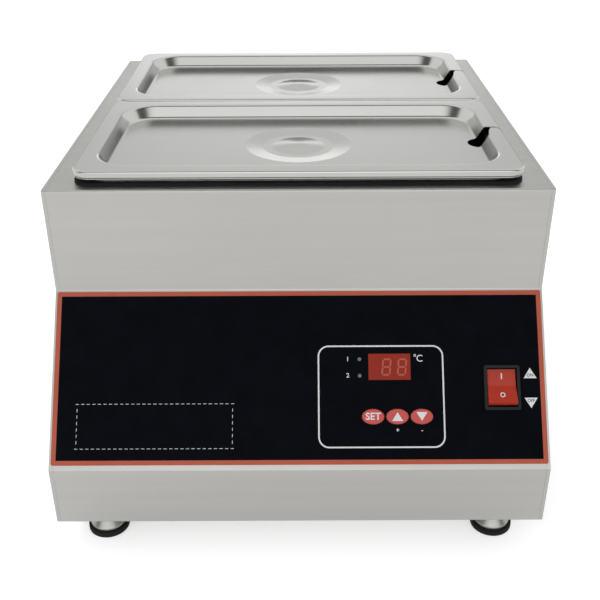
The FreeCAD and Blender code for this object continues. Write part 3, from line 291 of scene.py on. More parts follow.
@dataclass(frozen=True)
class BrushedMetal(Finish):
    """Sheet or turned metal with a fine brushed grain and soft wiping marks.

    The wiped span gives the roughness in the marks' hollows and on them, as shares of the finish's own.
    """

    grain: Grain = Grain.ALONG_WIDTH
    spread: float = 0.06
    depth: float = 0.00004
    scratch_strength: float = 0.35
    waviness: float = 0.0
    wave_scale: float = 11.0
    wave_depth: float = 0.004
    wipe_scale: float = 9.0
    wiped: Span = (0.86, 1.14)

    def build(self, effects: Effects) -> bpy.types.Material:
        """Make the material.

        Args:
            effects: The shared groups.

        Returns:
            The material.
        """
        material, tree, shader, position = self.start()
        scratches = self._scratches(effects, tree, position)
        shader.inputs["Metallic"].default_value = 1.0
        tree.join(self.tones(tree, scratches.outputs["Tone"], self.spread), shader.inputs["Base Color"])
        low, high = (self.roughness * share for share in self.wiped)
        rough = self.cloud(effects, tree, position, self.wipe_scale, low, high)
        tree.join(rough, shader.inputs["Roughness"])
        normal = None
        if self.waviness > 0:
            swell = tree.add("TexNoise", {"Vector": position, "Scale": self.wave_scale, "Detail": 1.0})
            normal = self.relief(tree, swell.outputs[0], self.waviness, self.wave_depth)
        normal = self.relief(tree, scratches.outputs["Height"], self.scratch_strength, self.depth,
                             normal)
        tree.join(normal, shader.inputs["Normal"])
        return material

    def _scratches(self, effects: Effects, tree: Tree, position: bpy.types.NodeSocket) -> bpy.types.Node:
        """Place the brushed grain in the finish's own direction.

        Args:
            effects: The shared groups.
            tree: The material's tree.
            position: The coordinates that the grain lies in.

        Returns:
            The group's node.
        """
        node = tree.add("Group", node_tree=effects.grain)
        tree.join(position, node.inputs["Position"])
        node.inputs["Stretch"].default_value = self.grain.value
        return node


@dataclass(frozen=True)
class Moulded(Finish):
    """Plastic or rubber with a pebbled skin; a clear coat makes it glossy.

    The worn span gives the roughness in the marks' hollows and on them, as shares of the finish's own.
    """

    pebbles: float = 2400.0
    relief_depth: float = 0.00002
    relief_strength: float = 0.4
    coat: float = 0.0
    coat_roughness: float = 0.12
    specular: float = 0.5
    spread: float = 0.05
    tint_scale: float = 60.0
    wear_scale: float = 25.0
    worn: Span = (0.85, 1.15)

    def build(self, effects: Effects) -> bpy.types.Material:
        """Make the material.

        Args:
            effects: The shared groups.

        Returns:
            The material.
        """
        material, tree, shader, position = self.start()
        shader.inputs["Specular IOR Level"].default_value = self.specular
        shader.inputs["Coat Weight"].default_value = self.coat
        shader.inputs["Coat Roughness"].default_value = self.coat_roughness
        skin = tree.add("Group", node_tree=effects.skin)
        tree.join(position, skin.inputs["Position"])
        skin.inputs["Scale"].default_value = self.pebbles
        pebbled = self.relief(tree, skin.outputs["Height"], self.relief_strength, self.relief_depth)
        tree.join(pebbled, shader.inputs["Normal"])
        mask = self.cloud(effects, tree, position, self.tint_scale, 0.0, 1.0)
        tree.join(self.tones(tree, mask, self.spread), shader.inputs["Base Color"])
        low, high = (min(1.0, self.roughness * share) for share in self.worn)
        rough = self.cloud(effects, tree, position, self.wear_scale, low, high)
        tree.join(rough, shader.inputs["Roughness"])
        return material


@dataclass(frozen=True)
class Woven(Finish):
    """A needled fibre blanket: tangled fibres that stand up as relief and vary in tone."""

    fibres: float = 700.0
    relief_depth: float = 0.0006
    relief_strength: float = 0.8
    spread: float = 0.16
    sheen: float = 0.25

    def build(self, effects: Effects) -> bpy.types.Material:
        """Make the material.

        Args:
            effects: The shared groups.

        Returns:
            The material.
        """
        material, tree, shader, position = self.start()
        fibres = tree.add("TexNoise", {"Vector": position, "Scale": self.fibres, "Detail": 6.0,
                                       "Distortion": 2.2})
        tangled = self.relief(tree, fibres.outputs[0], self.relief_strength, self.relief_depth)
        tree.join(tangled, shader.inputs["Normal"])
        tree.join(self.tones(tree, fibres.outputs[0], self.spread), shader.inputs["Base Color"])
        shader.inputs["Sheen Weight"].default_value = self.sheen
        return material


@dataclass(frozen=True)
class Circuit(Finish):
    """Solder mask over copper tracks, which show as slightly raised, lighter lines."""

    cells: float = 160.0
    track: Span = (0.42, 0.5)
    relief_depth: float = 0.00004
    relief_strength: float = 0.5
    spread: float = 0.45
    coat: float = 0.4

    def build(self, effects: Effects) -> bpy.types.Material:
        """Make the material.

        Args:
            effects: The shared groups.

        Returns:
            The material.
        """
        material, tree, shader, position = self.start()
        cells = tree.add("TexVoronoi", {"Vector": position, "Scale": self.cells}, distance="MANHATTAN")
        start, end = self.track
        track = tree.add("MapRange",
                         {"Value": cells.outputs["Distance"], "From Min": start, "From Max": end})
        tree.join(self.tones(tree, track.outputs[0], self.spread), shader.inputs["Base Color"])
        raised = self.relief(tree, track.outputs[0], self.relief_strength, self.relief_depth)
        tree.join(raised, shader.inputs["Normal"])
        shader.inputs["Coat Weight"].default_value = self.coat
        return material


# Shapes

def rounded_loop(half_x: float, half_y: float, corner: float, steps: int = 10) -> np.ndarray:
    """Points round a rounded rectangle about the origin.

    Each corner is an arc of the corner's radius about the point that lies that far in from both sides;
    the straight sides are the gaps between one arc's end and the next arc's start.

    Args:
        half_x: Half the length along X.
        half_y: Half the length along Y.
        corner: Radius of the corners.
        steps: Points in each corner.

    Returns:
        An array of (4 * steps, 2) places.
    """
    turns = np.linspace(0, math.pi / 2, steps)[None, :] + np.arange(4)[:, None] * math.pi / 2
    centre_x = np.array([1, -1, -1, 1])[:, None] * (half_x - corner)
    centre_y = np.array([1, 1, -1, -1])[:, None] * (half_y - corner)
    places = np.stack([centre_x + corner * np.cos(turns), centre_y + corner * np.sin(turns)], -1)
    return places.reshape(-1, 2)


def hoops(around: int, count: int) -> np.ndarray:
    """Quads between loops that follow one another: a point and the next one, on a loop and on the next.

    Args:
        around: Points on each loop.
        count: How many loops there are.

    Returns:
        Quads (around * (count - 1), 4).
    """
    here = np.arange(around)
    ahead = np.roll(here, -1)
    near = np.arange(count - 1)[:, None] * around
    far = near + around
    return np.stack([near + here, near + ahead, far + ahead, far + here], -1).reshape(-1, 4)


def band(half_x: float, half_y: float, corner: float, width: float) -> Shape:
    """A flat band inside a rounded rectangle.

    The outer loop and the same loop moved in by the width are joined point by point into quads.

    Args:
        half_x: Half the band's outer length along X.
        half_y: Half the band's outer length along Y.
        corner: Outer corner radius.
        width: Width of the band.

    Returns:
        Places (n, 2) and quads (m, 4).
    """
    outer = rounded_loop(half_x, half_y, corner)
    inner = rounded_loop(half_x - width, half_y - width, max(corner - width, LEAST_CORNER))
    return np.vstack([outer, inner]), hoops(len(outer), 2)


def ring(radius: float, width: float, steps: int = 40) -> Shape:
    """A flat ring: two circles about the origin, a width apart, joined point by point.

    Args:
        radius: Outer radius.
        width: Width of the ring.
        steps: Points round the ring.

    Returns:
        Places (n, 2) and quads (m, 4).
    """
    turns = np.linspace(0, 2 * math.pi, steps, endpoint=False)
    circle = np.stack([np.cos(turns), np.sin(turns)], -1)
    return np.vstack([circle * radius, circle * (radius - width)]), hoops(steps, 2)


def bars(centres: np.ndarray, lengths: np.ndarray, widths: np.ndarray) -> Shape:
    """Upright rectangles, one at each centre: the centre plus or minus half its two lengths.

    Args:
        centres: Places (n, 2).
        lengths: Length of each along X.
        widths: Length of each along Y.

    Returns:
        Places (4 n, 2) and quads (n, 4).
    """
    corners = np.array([[-1, -1], [1, -1], [1, 1], [-1, 1]]) / 2
    sizes = np.stack([lengths, widths], -1)[:, None, :]
    places = (centres[:, None, :] + corners[None] * sizes).reshape(-1, 2)
    return places, np.arange(len(places)).reshape(-1, 4)


def triangle(half: float, height: float, way: int) -> Shape:
    """A triangle about the origin: a level side and a tip a height above or below it.

    Args:
        half: Half the level side.
        height: Height of the triangle.
        way: 1 for a tip that points up, -1 for one that points down.

    Returns:
        Places (3, 2) and one face, seen from Z.
    """
    across, tip = way * half, way * height / 2
    return np.array([[-across, -tip], [across, -tip], [0, tip]]), np.array([[0, 1, 2]])


def dashes(half_x: float, half_y: float, dash: float, gap: float, width: float) -> Shape:
    """A rectangle drawn in dashes: evenly spaced bars on each of its four sides.

    Args:
        half_x: Half the rectangle's length along X.
        half_y: Half its length along Y.
        dash: Length of a dash.
        gap: Least gap between dashes.
        width: Width of the line.

    Returns:
        Places (n, 2) and quads (m, 4).
    """
    across = np.linspace(-half_x, half_x, int(2 * half_x / (dash + gap)))
    along = np.linspace(-half_y, half_y, int(2 * half_y / (dash + gap)))[1:-1]
    rows = [np.stack([across, np.full_like(across, side * half_y)], -1) for side in (-1, 1)]
    columns = [np.stack([np.full_like(along, side * half_x), along], -1) for side in (-1, 1)]
    centres = np.vstack(rows + columns)
    level = np.arange(len(centres)) < 2 * len(across)
    return bars(centres, np.where(level, dash, width), np.where(level, width, dash))


def digit(height: float, width: float, stroke: float, lean: float, tip: float = 0.18,
          shoulder: float = 0.68) -> Shape:
    """The seven bars of a digit, each a long hexagon, leaning to the right.

    The bars join the corners of two stacked squares. A bar's hexagon has a tip near each end and two
    shoulders half a stroke to either side of it; X then gains the lean times Y.

    Args:
        height: Height of the digit.
        width: Width of the digit.
        stroke: Width of a bar.
        lean: Shift along X for each unit of Y.
        tip: How far a tip lies from the bar's end, in strokes.
        shoulder: How far the shoulders lie from it, in strokes.

    Returns:
        Places (42, 2) and hexagons (7, 6).
    """
    w, h = width / 2, height / 2
    ends = np.array([[-w, h, w, h], [-w, 0, w, 0], [-w, -h, w, -h],
                     [-w, 0, -w, h], [w, 0, w, h], [-w, -h, -w, 0], [w, -h, w, 0]])
    start, end = ends[:, :2], ends[:, 2:]
    way = (end - start) / np.linalg.norm(end - start, axis=1, keepdims=True)
    side = np.stack([-way[:, 1], way[:, 0]], -1) * stroke / 2
    to_tip, to_shoulder = way * stroke * tip, way * stroke * shoulder
    outline = np.stack([start + to_tip, start + to_shoulder - side, end - to_shoulder - side,
                        end - to_tip, end - to_shoulder + side, start + to_shoulder + side], 1)
    places = outline.reshape(-1, 2)
    places[:, 0] += lean * places[:, 1]
    return places, np.arange(len(places)).reshape(-1, 6)


def thread(radius: float, crest: float, pitch: float, turns: float, steps: int = 36,
           foot: float = 0.45) -> Shape:
    """A thread's ridge: a low triangle carried along a helix about Z, starting at height 0.

    At each angle the triangle's foot reaches a share of the pitch above and below the helix at the
    core's radius, and its crest lies at that radius plus the crest's height. The crest fades to the core
    over the first and the last quarter turn.

    Args:
        radius: Radius of the core.
        crest: Height of the ridge.
        pitch: Rise for one turn.
        turns: How many turns.
        steps: Points in one turn.
        foot: Half the width of the triangle's foot, as a share of the pitch.

    Returns:
        Points (n, 3) and quads (m, 4).
    """
    angle = np.linspace(0, 2 * math.pi * turns, int(steps * turns) + 1)
    fade = np.clip(np.minimum(angle, angle[-1] - angle) / (math.pi / 2), 0, 1)
    rise = pitch * angle / (2 * math.pi)
    core = np.full_like(angle, radius)
    radii = np.stack([core, radius + crest * fade, core], -1)
    heights = rise[:, None] + np.array([-foot, 0.0, foot]) * pitch
    points = np.stack([radii * np.cos(angle)[:, None], radii * np.sin(angle)[:, None], heights], -1)
    across = radii.shape[1]
    first = (np.arange(len(angle) - 1)[:, None] * across + np.arange(across - 1)[None]).reshape(-1)
    return points.reshape(-1, 3), np.stack([first, first + across, first + across + 1, first + 1], -1)


def soften(corners: np.ndarray, radii: tuple[float, ...], steps: int = 7) -> np.ndarray:
    """A line through the corners, each inner corner rounded by an arc that touches both of its runs.

    The arc's middle lies on the corner's bisector, the radius over the sine of half the angle between
    the runs away; the arc's points turn evenly about it from one run to the other.

    Args:
        corners: Places (n, 2).
        radii: Radius at each corner between the first and the last.
        steps: Points on each arc.

    Returns:
        Places (m, 2) along the line.
    """
    line = [corners[0]]
    for before, corner, after, radius in zip(corners, corners[1:], corners[2:], radii):
        back = (before - corner) / np.linalg.norm(before - corner)
        ahead = (after - corner) / np.linalg.norm(after - corner)
        half = math.acos(back @ ahead) / 2
        middle = corner + (back + ahead) / np.linalg.norm(back + ahead) * radius / math.sin(half)
        start = corner + back * radius / math.tan(half) - middle
        end = corner + ahead * radius / math.tan(half) - middle
        turn = math.pi - 2 * half
        share = np.linspace(0, 1, steps)[:, None]
        spokes = (start * np.sin((1 - share) * turn) + end * np.sin(share * turn)) / math.sin(turn)
        line.extend(middle + spokes)
    line.append(corners[-1])
    return np.array(line)


def pressing(rings: np.ndarray) -> tuple[np.ndarray, list]:
    """A pressed sheet: rounded rectangles one inside the other, closed by a fan about the middle.

    Each ring is a rounded loop at its own height; a ring and the next are joined point by point into
    quads, and the last ring is joined to one point at its own height.

    Args:
        rings: For each ring half its length along X, half that along Y, its corner radius and height.

    Returns:
        Points (n, 3) and faces, seen from the outside when the rings run inwards.
    """
    loops = np.array([rounded_loop(half_x, half_y, corner) for half_x, half_y, corner, _ in rings])
    count, around = loops.shape[:2]
    heights = np.repeat(rings[:, 3], around)
    pole = count * around
    fan = hoops(around, 2)[:, :2] + (pole - around)
    points = np.vstack([np.column_stack([loops.reshape(-1, 2), heights]), [0.0, 0.0, heights[-1]]])
    return points, hoops(around, count).tolist() + [(*side, pole) for side in fan.tolist()]


# The control panel's own axes

@dataclass
class PanelPlane:
    """The film's front face, measured on its node, and the way from its axes to the row frame."""

    node: str = "panel_overlay"
    below_bend: float = 1.6
    least_lean: float = 0.5
    normal: np.ndarray = field(init=False)
    to_row: Matrix = field(init=False)

    def __post_init__(self) -> None:
        """Measure the face: the mean direction of the triangles that face up and to the front."""
        mesh = frame["nodes"][self.node].data
        facing = np.empty(len(mesh.polygons) * 3)
        areas = np.empty(len(mesh.polygons))
        points = np.empty(len(mesh.vertices) * 3)
        mesh.polygons.foreach_get("normal", facing)
        mesh.polygons.foreach_get("area", areas)
        mesh.vertices.foreach_get("co", points)
        facing, points = facing.reshape(-1, 3), points.reshape(-1, 3)
        front = (facing[:, 1] < -self.least_lean) & (facing[:, 2] > self.least_lean)
        mean = (facing[front] * areas[front, None]).sum(0)
        self.normal = mean / np.linalg.norm(mean)
        up_slope = np.cross(self.normal, [1.0, 0.0, 0.0])
        top = (points @ up_slope).max() + self.below_bend * MM
        face = (points @ self.normal).max()
        origin = up_slope * top + self.normal * face
        self.to_row = Matrix(((1, 0, 0, 0), (0, up_slope[1], self.normal[1], origin[1]),
                              (0, up_slope[2], self.normal[2], origin[2]), (0, 0, 0, 1)))

    def at(self, place: Place, out: float) -> Matrix:
        """The matrix from a print's own axes to the row frame.

        Args:
            place: X and the distance down from the bend, in millimetres.
            out: Height above the film, in metres.

        Returns:
            The matrix.
        """
        return self.to_row @ Matrix.Translation((place[0] * MM, -place[1] * MM, out))


def make_piece(name: str, points: np.ndarray, faces: np.ndarray | list, material: bpy.types.Material,
               body: str, place: Matrix, thickness: float = 0.0,
               smooth: bool = False) -> bpy.types.Object:
    """Put a surface into the scene as a piece that rides on a body.

    Args:
        name: The piece's name.
        points: Places (n, 2) or points (n, 3) in the piece's own axes.
        faces: Corners of each face.
        material: The finish.
        body: The body it rides on.
        place: From the piece's own axes to the row frame.
        thickness: Thickness given behind the surface; 0 leaves it as it is.
        smooth: Whether the faces are shaded smooth.

    Returns:
        The piece.
    """
    if points.shape[1] == 2:
        points = np.column_stack([points, np.zeros(len(points))])
    mesh = bpy.data.meshes.new(name)
    mesh.from_pydata(points, [], faces)
    return add_mesh(name, mesh, material, body, place, thickness, smooth)


def add_mesh(name: str, mesh: bpy.types.Mesh, material: bpy.types.Material, body: str, place: Matrix,
             thickness: float = 0.0, smooth: bool = False) -> bpy.types.Object:
    """Place a mesh, give it its finish and let it ride on a body.

    Args:
        name: The piece's name.
        mesh: The mesh, in the piece's own axes.
        material: The finish.
        body: The body it rides on.
        place: From the piece's own axes to the row frame.
        thickness: Thickness given behind the surface; 0 leaves it as it is.
        smooth: Whether the faces are shaded smooth.

    Returns:
        The piece.
    """
    mesh.transform(place)
    mesh.materials.clear()
    mesh.materials.append(material)
    mesh.polygons.foreach_set("use_smooth", np.full(len(mesh.polygons), smooth))
    mesh.update()
    piece = bpy.data.objects.new(name, mesh)
    bpy.context.scene.collection.objects.link(piece)
    if thickness > 0:
        solid = piece.modifiers.new("thickness", "SOLIDIFY")
        solid.thickness = thickness
        solid.offset = -1.0
    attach(piece, body)
    LOG.info("%s on %s", name, body)
    return piece


def even_shading(piece: bpy.types.Object) -> None:
    """Shade a sheet smooth across its bends and sharp at its cut edges, with its flats kept flat.

    Args:
        piece: The sheet.
    """
    piece.data.set_sharp_from_angle(angle=SHARP_ANGLE)
    weighted = piece.modifiers.new("even shading", "WEIGHTED_NORMAL")
    weighted.keep_sharp = True


def cut_out(piece: bpy.types.Object, cutter: bpy.types.Object) -> None:
    """Take a cutter's shape out of a sheet, whose thickness becomes part of its mesh.

    Args:
        piece: The sheet.
        cutter: A closed solid, which is removed afterwards.
    """
    bpy.context.scene.collection.objects.link(cutter)
    piece.modifiers.remove(piece.modifiers["even shading"])
    cut = piece.modifiers.new("notch", "BOOLEAN")
    cut.operation = "DIFFERENCE"
    cut.solver = "MANIFOLD"
    cut.object = cutter
    bpy.context.view_layer.update()
    finished = piece.evaluated_get(bpy.context.evaluated_depsgraph_get())
    piece.data = bpy.data.meshes.new_from_object(finished)
    piece.modifiers.clear()
    bpy.data.objects.remove(cutter)
    even_shading(piece)


def lettering(name: str, words: str, size: float, material: bpy.types.Material, body: str,
              place: Matrix, weight: float = 0.0) -> bpy.types.Object:
    """Generic lettering as a flat mesh, centred on its place.

    Args:
        name: The piece's name.
        words: What it reads.
        size: Height of the type, in metres.
        material: The ink.
        body: The body it rides on.
        place: From the lettering's own axes to the row frame.
        weight: How much the strokes are fattened, in metres.

    Returns:
        The piece.
    """
    curve = bpy.data.curves.new(name, "FONT")
    curve.body = words
    curve.size = size
    curve.offset = weight
    curve.align_x = "CENTER"
    curve.align_y = "CENTER"
    curve.resolution_u = TYPE_STEPS
    holder = bpy.data.objects.new(name + "_type", curve)
    bpy.context.scene.collection.objects.link(holder)
    bpy.context.view_layer.update()
    mesh = bpy.data.meshes.new_from_object(holder)
    bpy.data.objects.remove(holder)
    bpy.data.curves.remove(curve)
    mesh.name = name
    return add_mesh(name, mesh, material, body, place, INK)


# The melter's parts

@dataclass
class Finishes:
    """Every finish of the melter, by the record's slot, and the inks of its prints."""

    effects: Effects
    slots: dict[str, bpy.types.Material] = field(init=False)
    sides: bpy.types.Material = field(init=False)
    keys: bpy.types.Material = field(init=False)
    edge_ink: bpy.types.Material = field(init=False)
    white_ink: bpy.types.Material = field(init=False)
    dark_ink: bpy.types.Material = field(init=False)
    segment_ink: bpy.types.Material = field(init=False)

    def __post_init__(self) -> None:
        """Build the materials."""
        steel, pressed, zinc = (0.5, 0.495, 0.475), (0.56, 0.56, 0.54), (0.6, 0.61, 0.63)
        of_slot = {
            "stainless_brushed": BrushedMetal("brushed stainless", steel, 0.34),
            "stainless_pressed": BrushedMetal("pressed stainless", pressed, 0.2, spread=0.02,
                                              depth=0.00001, waviness=0.05),
            "aluminium_plain": BrushedMetal("mill aluminium", (0.7, 0.71, 0.72), 0.42, spread=0.04),
            "zinc_steel": BrushedMetal("zinc plate", zinc, 0.38, spread=0.1),
            "foot_steel": BrushedMetal("turned steel", (0.42, 0.42, 0.4), 0.3, grain=Grain.ROUND_AXIS,
                                       spread=0.15),
            "probe_steel": BrushedMetal("drawn tube", (0.55, 0.55, 0.55), 0.3),
            "brass_plain": BrushedMetal("bright brass", (0.74, 0.55, 0.25), 0.28),
            "black_rubber": Moulded("black rubber", (0.009, 0.009, 0.009), 0.7, pebbles=1500.0,
                                    specular=0.25),
            "silicone_mat": Moulded("silicone mat", (0.42, 0.13, 0.07), 0.55, pebbles=900.0,
                                    relief_depth=0.00008),
            "insulation_fibre": Woven("fibre blanket", (0.82, 0.8, 0.74), 0.95),
            "black_plastic": Moulded("black plastic", (0.006, 0.006, 0.0065), 0.42, specular=0.25),
            "panel_film": Moulded("panel film", (0.0026, 0.0034, 0.0054), 0.55, pebbles=5200.0,
                                  relief_depth=0.000004, specular=0.02, spread=0.2),
            "window_red": Moulded("display window", (0.27, 0.02, 0.008), 0.2, pebbles=600.0,
                                  relief_depth=0.000002, coat=0.05, specular=0.12),
            "lamp_clear": Moulded("lamp lens", (0.1, 0.09, 0.085), 0.2, coat=0.5),
            "board_green": Circuit("circuit board", (0.02, 0.14, 0.05), 0.35),
            "relay_case": Moulded("relay case", (0.05, 0.12, 0.34), 0.45),
            "red_plastic": Moulded("red plastic", (0.41, 0.034, 0.016), 0.3, coat=0.15, specular=0.25),
            "white_plastic": Moulded("white plastic", (0.78, 0.78, 0.74), 0.5),
        }
        self.slots = {slot: finish.build(self.effects) for slot, finish in of_slot.items()}
        side = BrushedMetal("brushed side", steel, 0.34, grain=Grain.ALONG_DEPTH)
        self.sides = side.build(self.effects)
        key = Moulded("key cap", (0.52, 0.075, 0.065), 0.35, coat=0.1, specular=0.25)
        self.keys = key.build(self.effects)
        self.edge_ink = self._ink("edge ink", (0.42, 0.085, 0.045))
        self.white_ink = self._ink("white ink", (0.68, 0.69, 0.7))
        self.dark_ink = self._ink("dark ink", (0.02, 0.02, 0.022))
        self.segment_ink = self._ink("dim segment", (0.42, 0.09, 0.06))

    def _ink(self, name: str, colour: Colour) -> bpy.types.Material:
        """A printed ink: a matt layer with a fine uneven skin."""
        ink = Moulded(name, colour, 0.45, pebbles=3000.0, relief_depth=0.000006, specular=0.3)
        return ink.build(self.effects)

    def dress_nodes(self) -> None:
        """Give every node its slot's finish: side panels are brushed front to rear, keys are lighter."""
        own = {"side_panel_left": self.sides, "side_panel_right": self.sides,
               "button_set": self.keys, "button_up": self.keys, "button_down": self.keys}
        for part in frame["record"]["subparts"]:
            node = frame["nodes"][part["node"]]
            material = own.get(part["node"], self.slots[part["material_slot"]])
            for holder in node.material_slots:
                holder.material = material
            LOG.info("finish on %s", part["node"])


@dataclass
class PressedSheets:
    """The two lids and the two pans as smooth pressings, each in place of its solid.

    Heights count from the deck. A place on the skirt, recess, edge or bowl is its distance in from the
    flange's outline and its height. The dish is turned, so its places are radius and height. A place on
    the notch's outline is its distance in from the lid's right end and the place along that end. The
    radii round the inner corners of each.
    """

    finishes: Finishes
    deck: float = 256.0
    middles: dict[str, float] = field(default_factory=lambda: {"front": -52.5, "rear": 127.5})
    half: Span = (162.5, 88.0)
    sheet: float = 0.8
    flange_corner: float = 13.0
    lid_corner: float = 42.0
    pan_corner: float = 46.5
    skirt: tuple = ((3.6, 5.5), (0.0, 5.5), (0.6, 10.8), (6.0, 10.8))
    skirt_radii: tuple[float, ...] = (1.1, 1.7)
    recess: tuple = ((9.0, 10.8), (13.5, 10.8), (19.5, 0.8), (26.0, 0.8))
    recess_radii: tuple[float, ...] = (2.6, 3.4)
    dish: tuple = ((50.0, 0.8), (42.0, 0.8), (28.0, -0.6), (21.0, -0.6), (4.0, 1.4), (0.5, 1.5))
    dish_radii: tuple[float, ...] = (12.0, 12.0, 12.0, 30.0)
    edge: tuple = ((1.9, 4.0), (2.0, 5.2), (8.0, 5.2))
    edge_radii: tuple[float, ...] = (0.5,)
    bowl: tuple = ((9.5, 5.2), (12.5, 5.2), (17.5, -94.0), (38.0, -94.0))
    bowl_radii: tuple[float, ...] = (2.4, 14.0)
    notch: tuple = ((14.5, -10.5), (27.6, -10.5), (27.6, 11.5), (15.0, 11.5), (9.5, 10.8), (4.5, 11.4),
                    (1.0, 6.0), (-2.0, 0.0), (-2.0, -3.0), (1.2, 4.0), (4.6, 9.4), (8.8, 9.2),
                    (11.5, 1.0), (13.0, -8.0), (14.5, -10.5))
    notch_radii: tuple[float, ...] = (10.6, 10.6, 3.0, 2.0, 3.0, 4.0, 0.2, 0.2, 4.0, 3.0, 1.0, 3.0, 2.0)
    notch_levels: Span = (-8.0, 14.0)
    notch_steps: int = 5

    def build(self) -> None:
        """Make the four sheets and cut the lids' notches."""
        for place, middle in self.middles.items():
            spot = Matrix.Translation((0, middle * MM, self.deck * MM))
            lid = self._sheet(f"lid_{place}", self._lid_rings(), spot)
            self._cut_notch(lid, spot)
            self._sheet(f"pan_{place}", self._pan_rings(), spot)

    def _carried(self, corners: tuple, radii: tuple[float, ...], corner: float) -> np.ndarray:
        """Rings along a profile of distances and heights.

        Args:
            corners: The profile's corners.
            radii: Its radii.
            corner: Distance in of the point that the outline's corners turn about.

        Returns:
            The rings.
        """
        away, height = soften(np.array(corners), radii).T
        return np.stack([self.half[0] - away, self.half[1] - away, corner - away, height], -1)

    def _lid_rings(self) -> np.ndarray:
        """Hem, skirt and border, then the recess, then the dish with its knob.

        Returns:
            The lid's rings, from its edge to its middle.
        """
        radius, height = soften(np.array(self.dish), self.dish_radii).T
        turned = np.stack([radius, radius, radius, height], -1)
        return np.vstack([self._carried(self.skirt, self.skirt_radii, self.flange_corner),
                          self._carried(self.recess, self.recess_radii, self.lid_corner), turned])

    def _pan_rings(self) -> np.ndarray:
        """The flange's turned-down edge, then the walls and the floor.

        Returns:
            The pan's rings, from its edge to its floor.
        """
        return np.vstack([self._carried(self.edge, self.edge_radii, self.flange_corner),
                          self._carried(self.bowl, self.bowl_radii, self.pan_corner)])

    def _sheet(self, node: str, rings: np.ndarray, spot: Matrix) -> bpy.types.Object:
        """Make one sheet that rides on its node's body and stands for it.

        Args:
            node: The node, whose body has the same name.
            rings: The sheet's rings.
            spot: From the sheet's own axes to the row frame.

        Returns:
            The piece.
        """
        points, faces = pressing(rings)
        piece = make_piece(f"{node}_sheet", points * MM, faces, self.finishes.slots["stainless_pressed"],
                           node, spot, self.sheet * MM, smooth=True)
        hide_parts(node)
        even_shading(piece)
        return piece

    def _cut_notch(self, lid: bpy.types.Object, spot: Matrix) -> None:
        """Take the ladle's notch out of a lid: a prism between two levels over the notch's outline.

        Args:
            lid: The lid's sheet.
            spot: From the sheet's own axes to the row frame.
        """
        away, along = soften(np.array(self.notch), self.notch_radii, self.notch_steps)[:-1].T
        points = [np.stack([self.half[0] - away, along, np.full_like(away, level)], -1)
                  for level in self.notch_levels]
        around = len(away)
        sides = hoops(around, 2)[:, [0, 3, 2, 1]]
        ends = [list(range(around)), list(range(around, 2 * around))[::-1]]
        mesh = bpy.data.meshes.new("notch")
        mesh.from_pydata(np.vstack(points) * MM, [], sides.tolist() + ends)
        mesh.transform(spot)
        cut_out(lid, bpy.data.objects.new("notch", mesh))


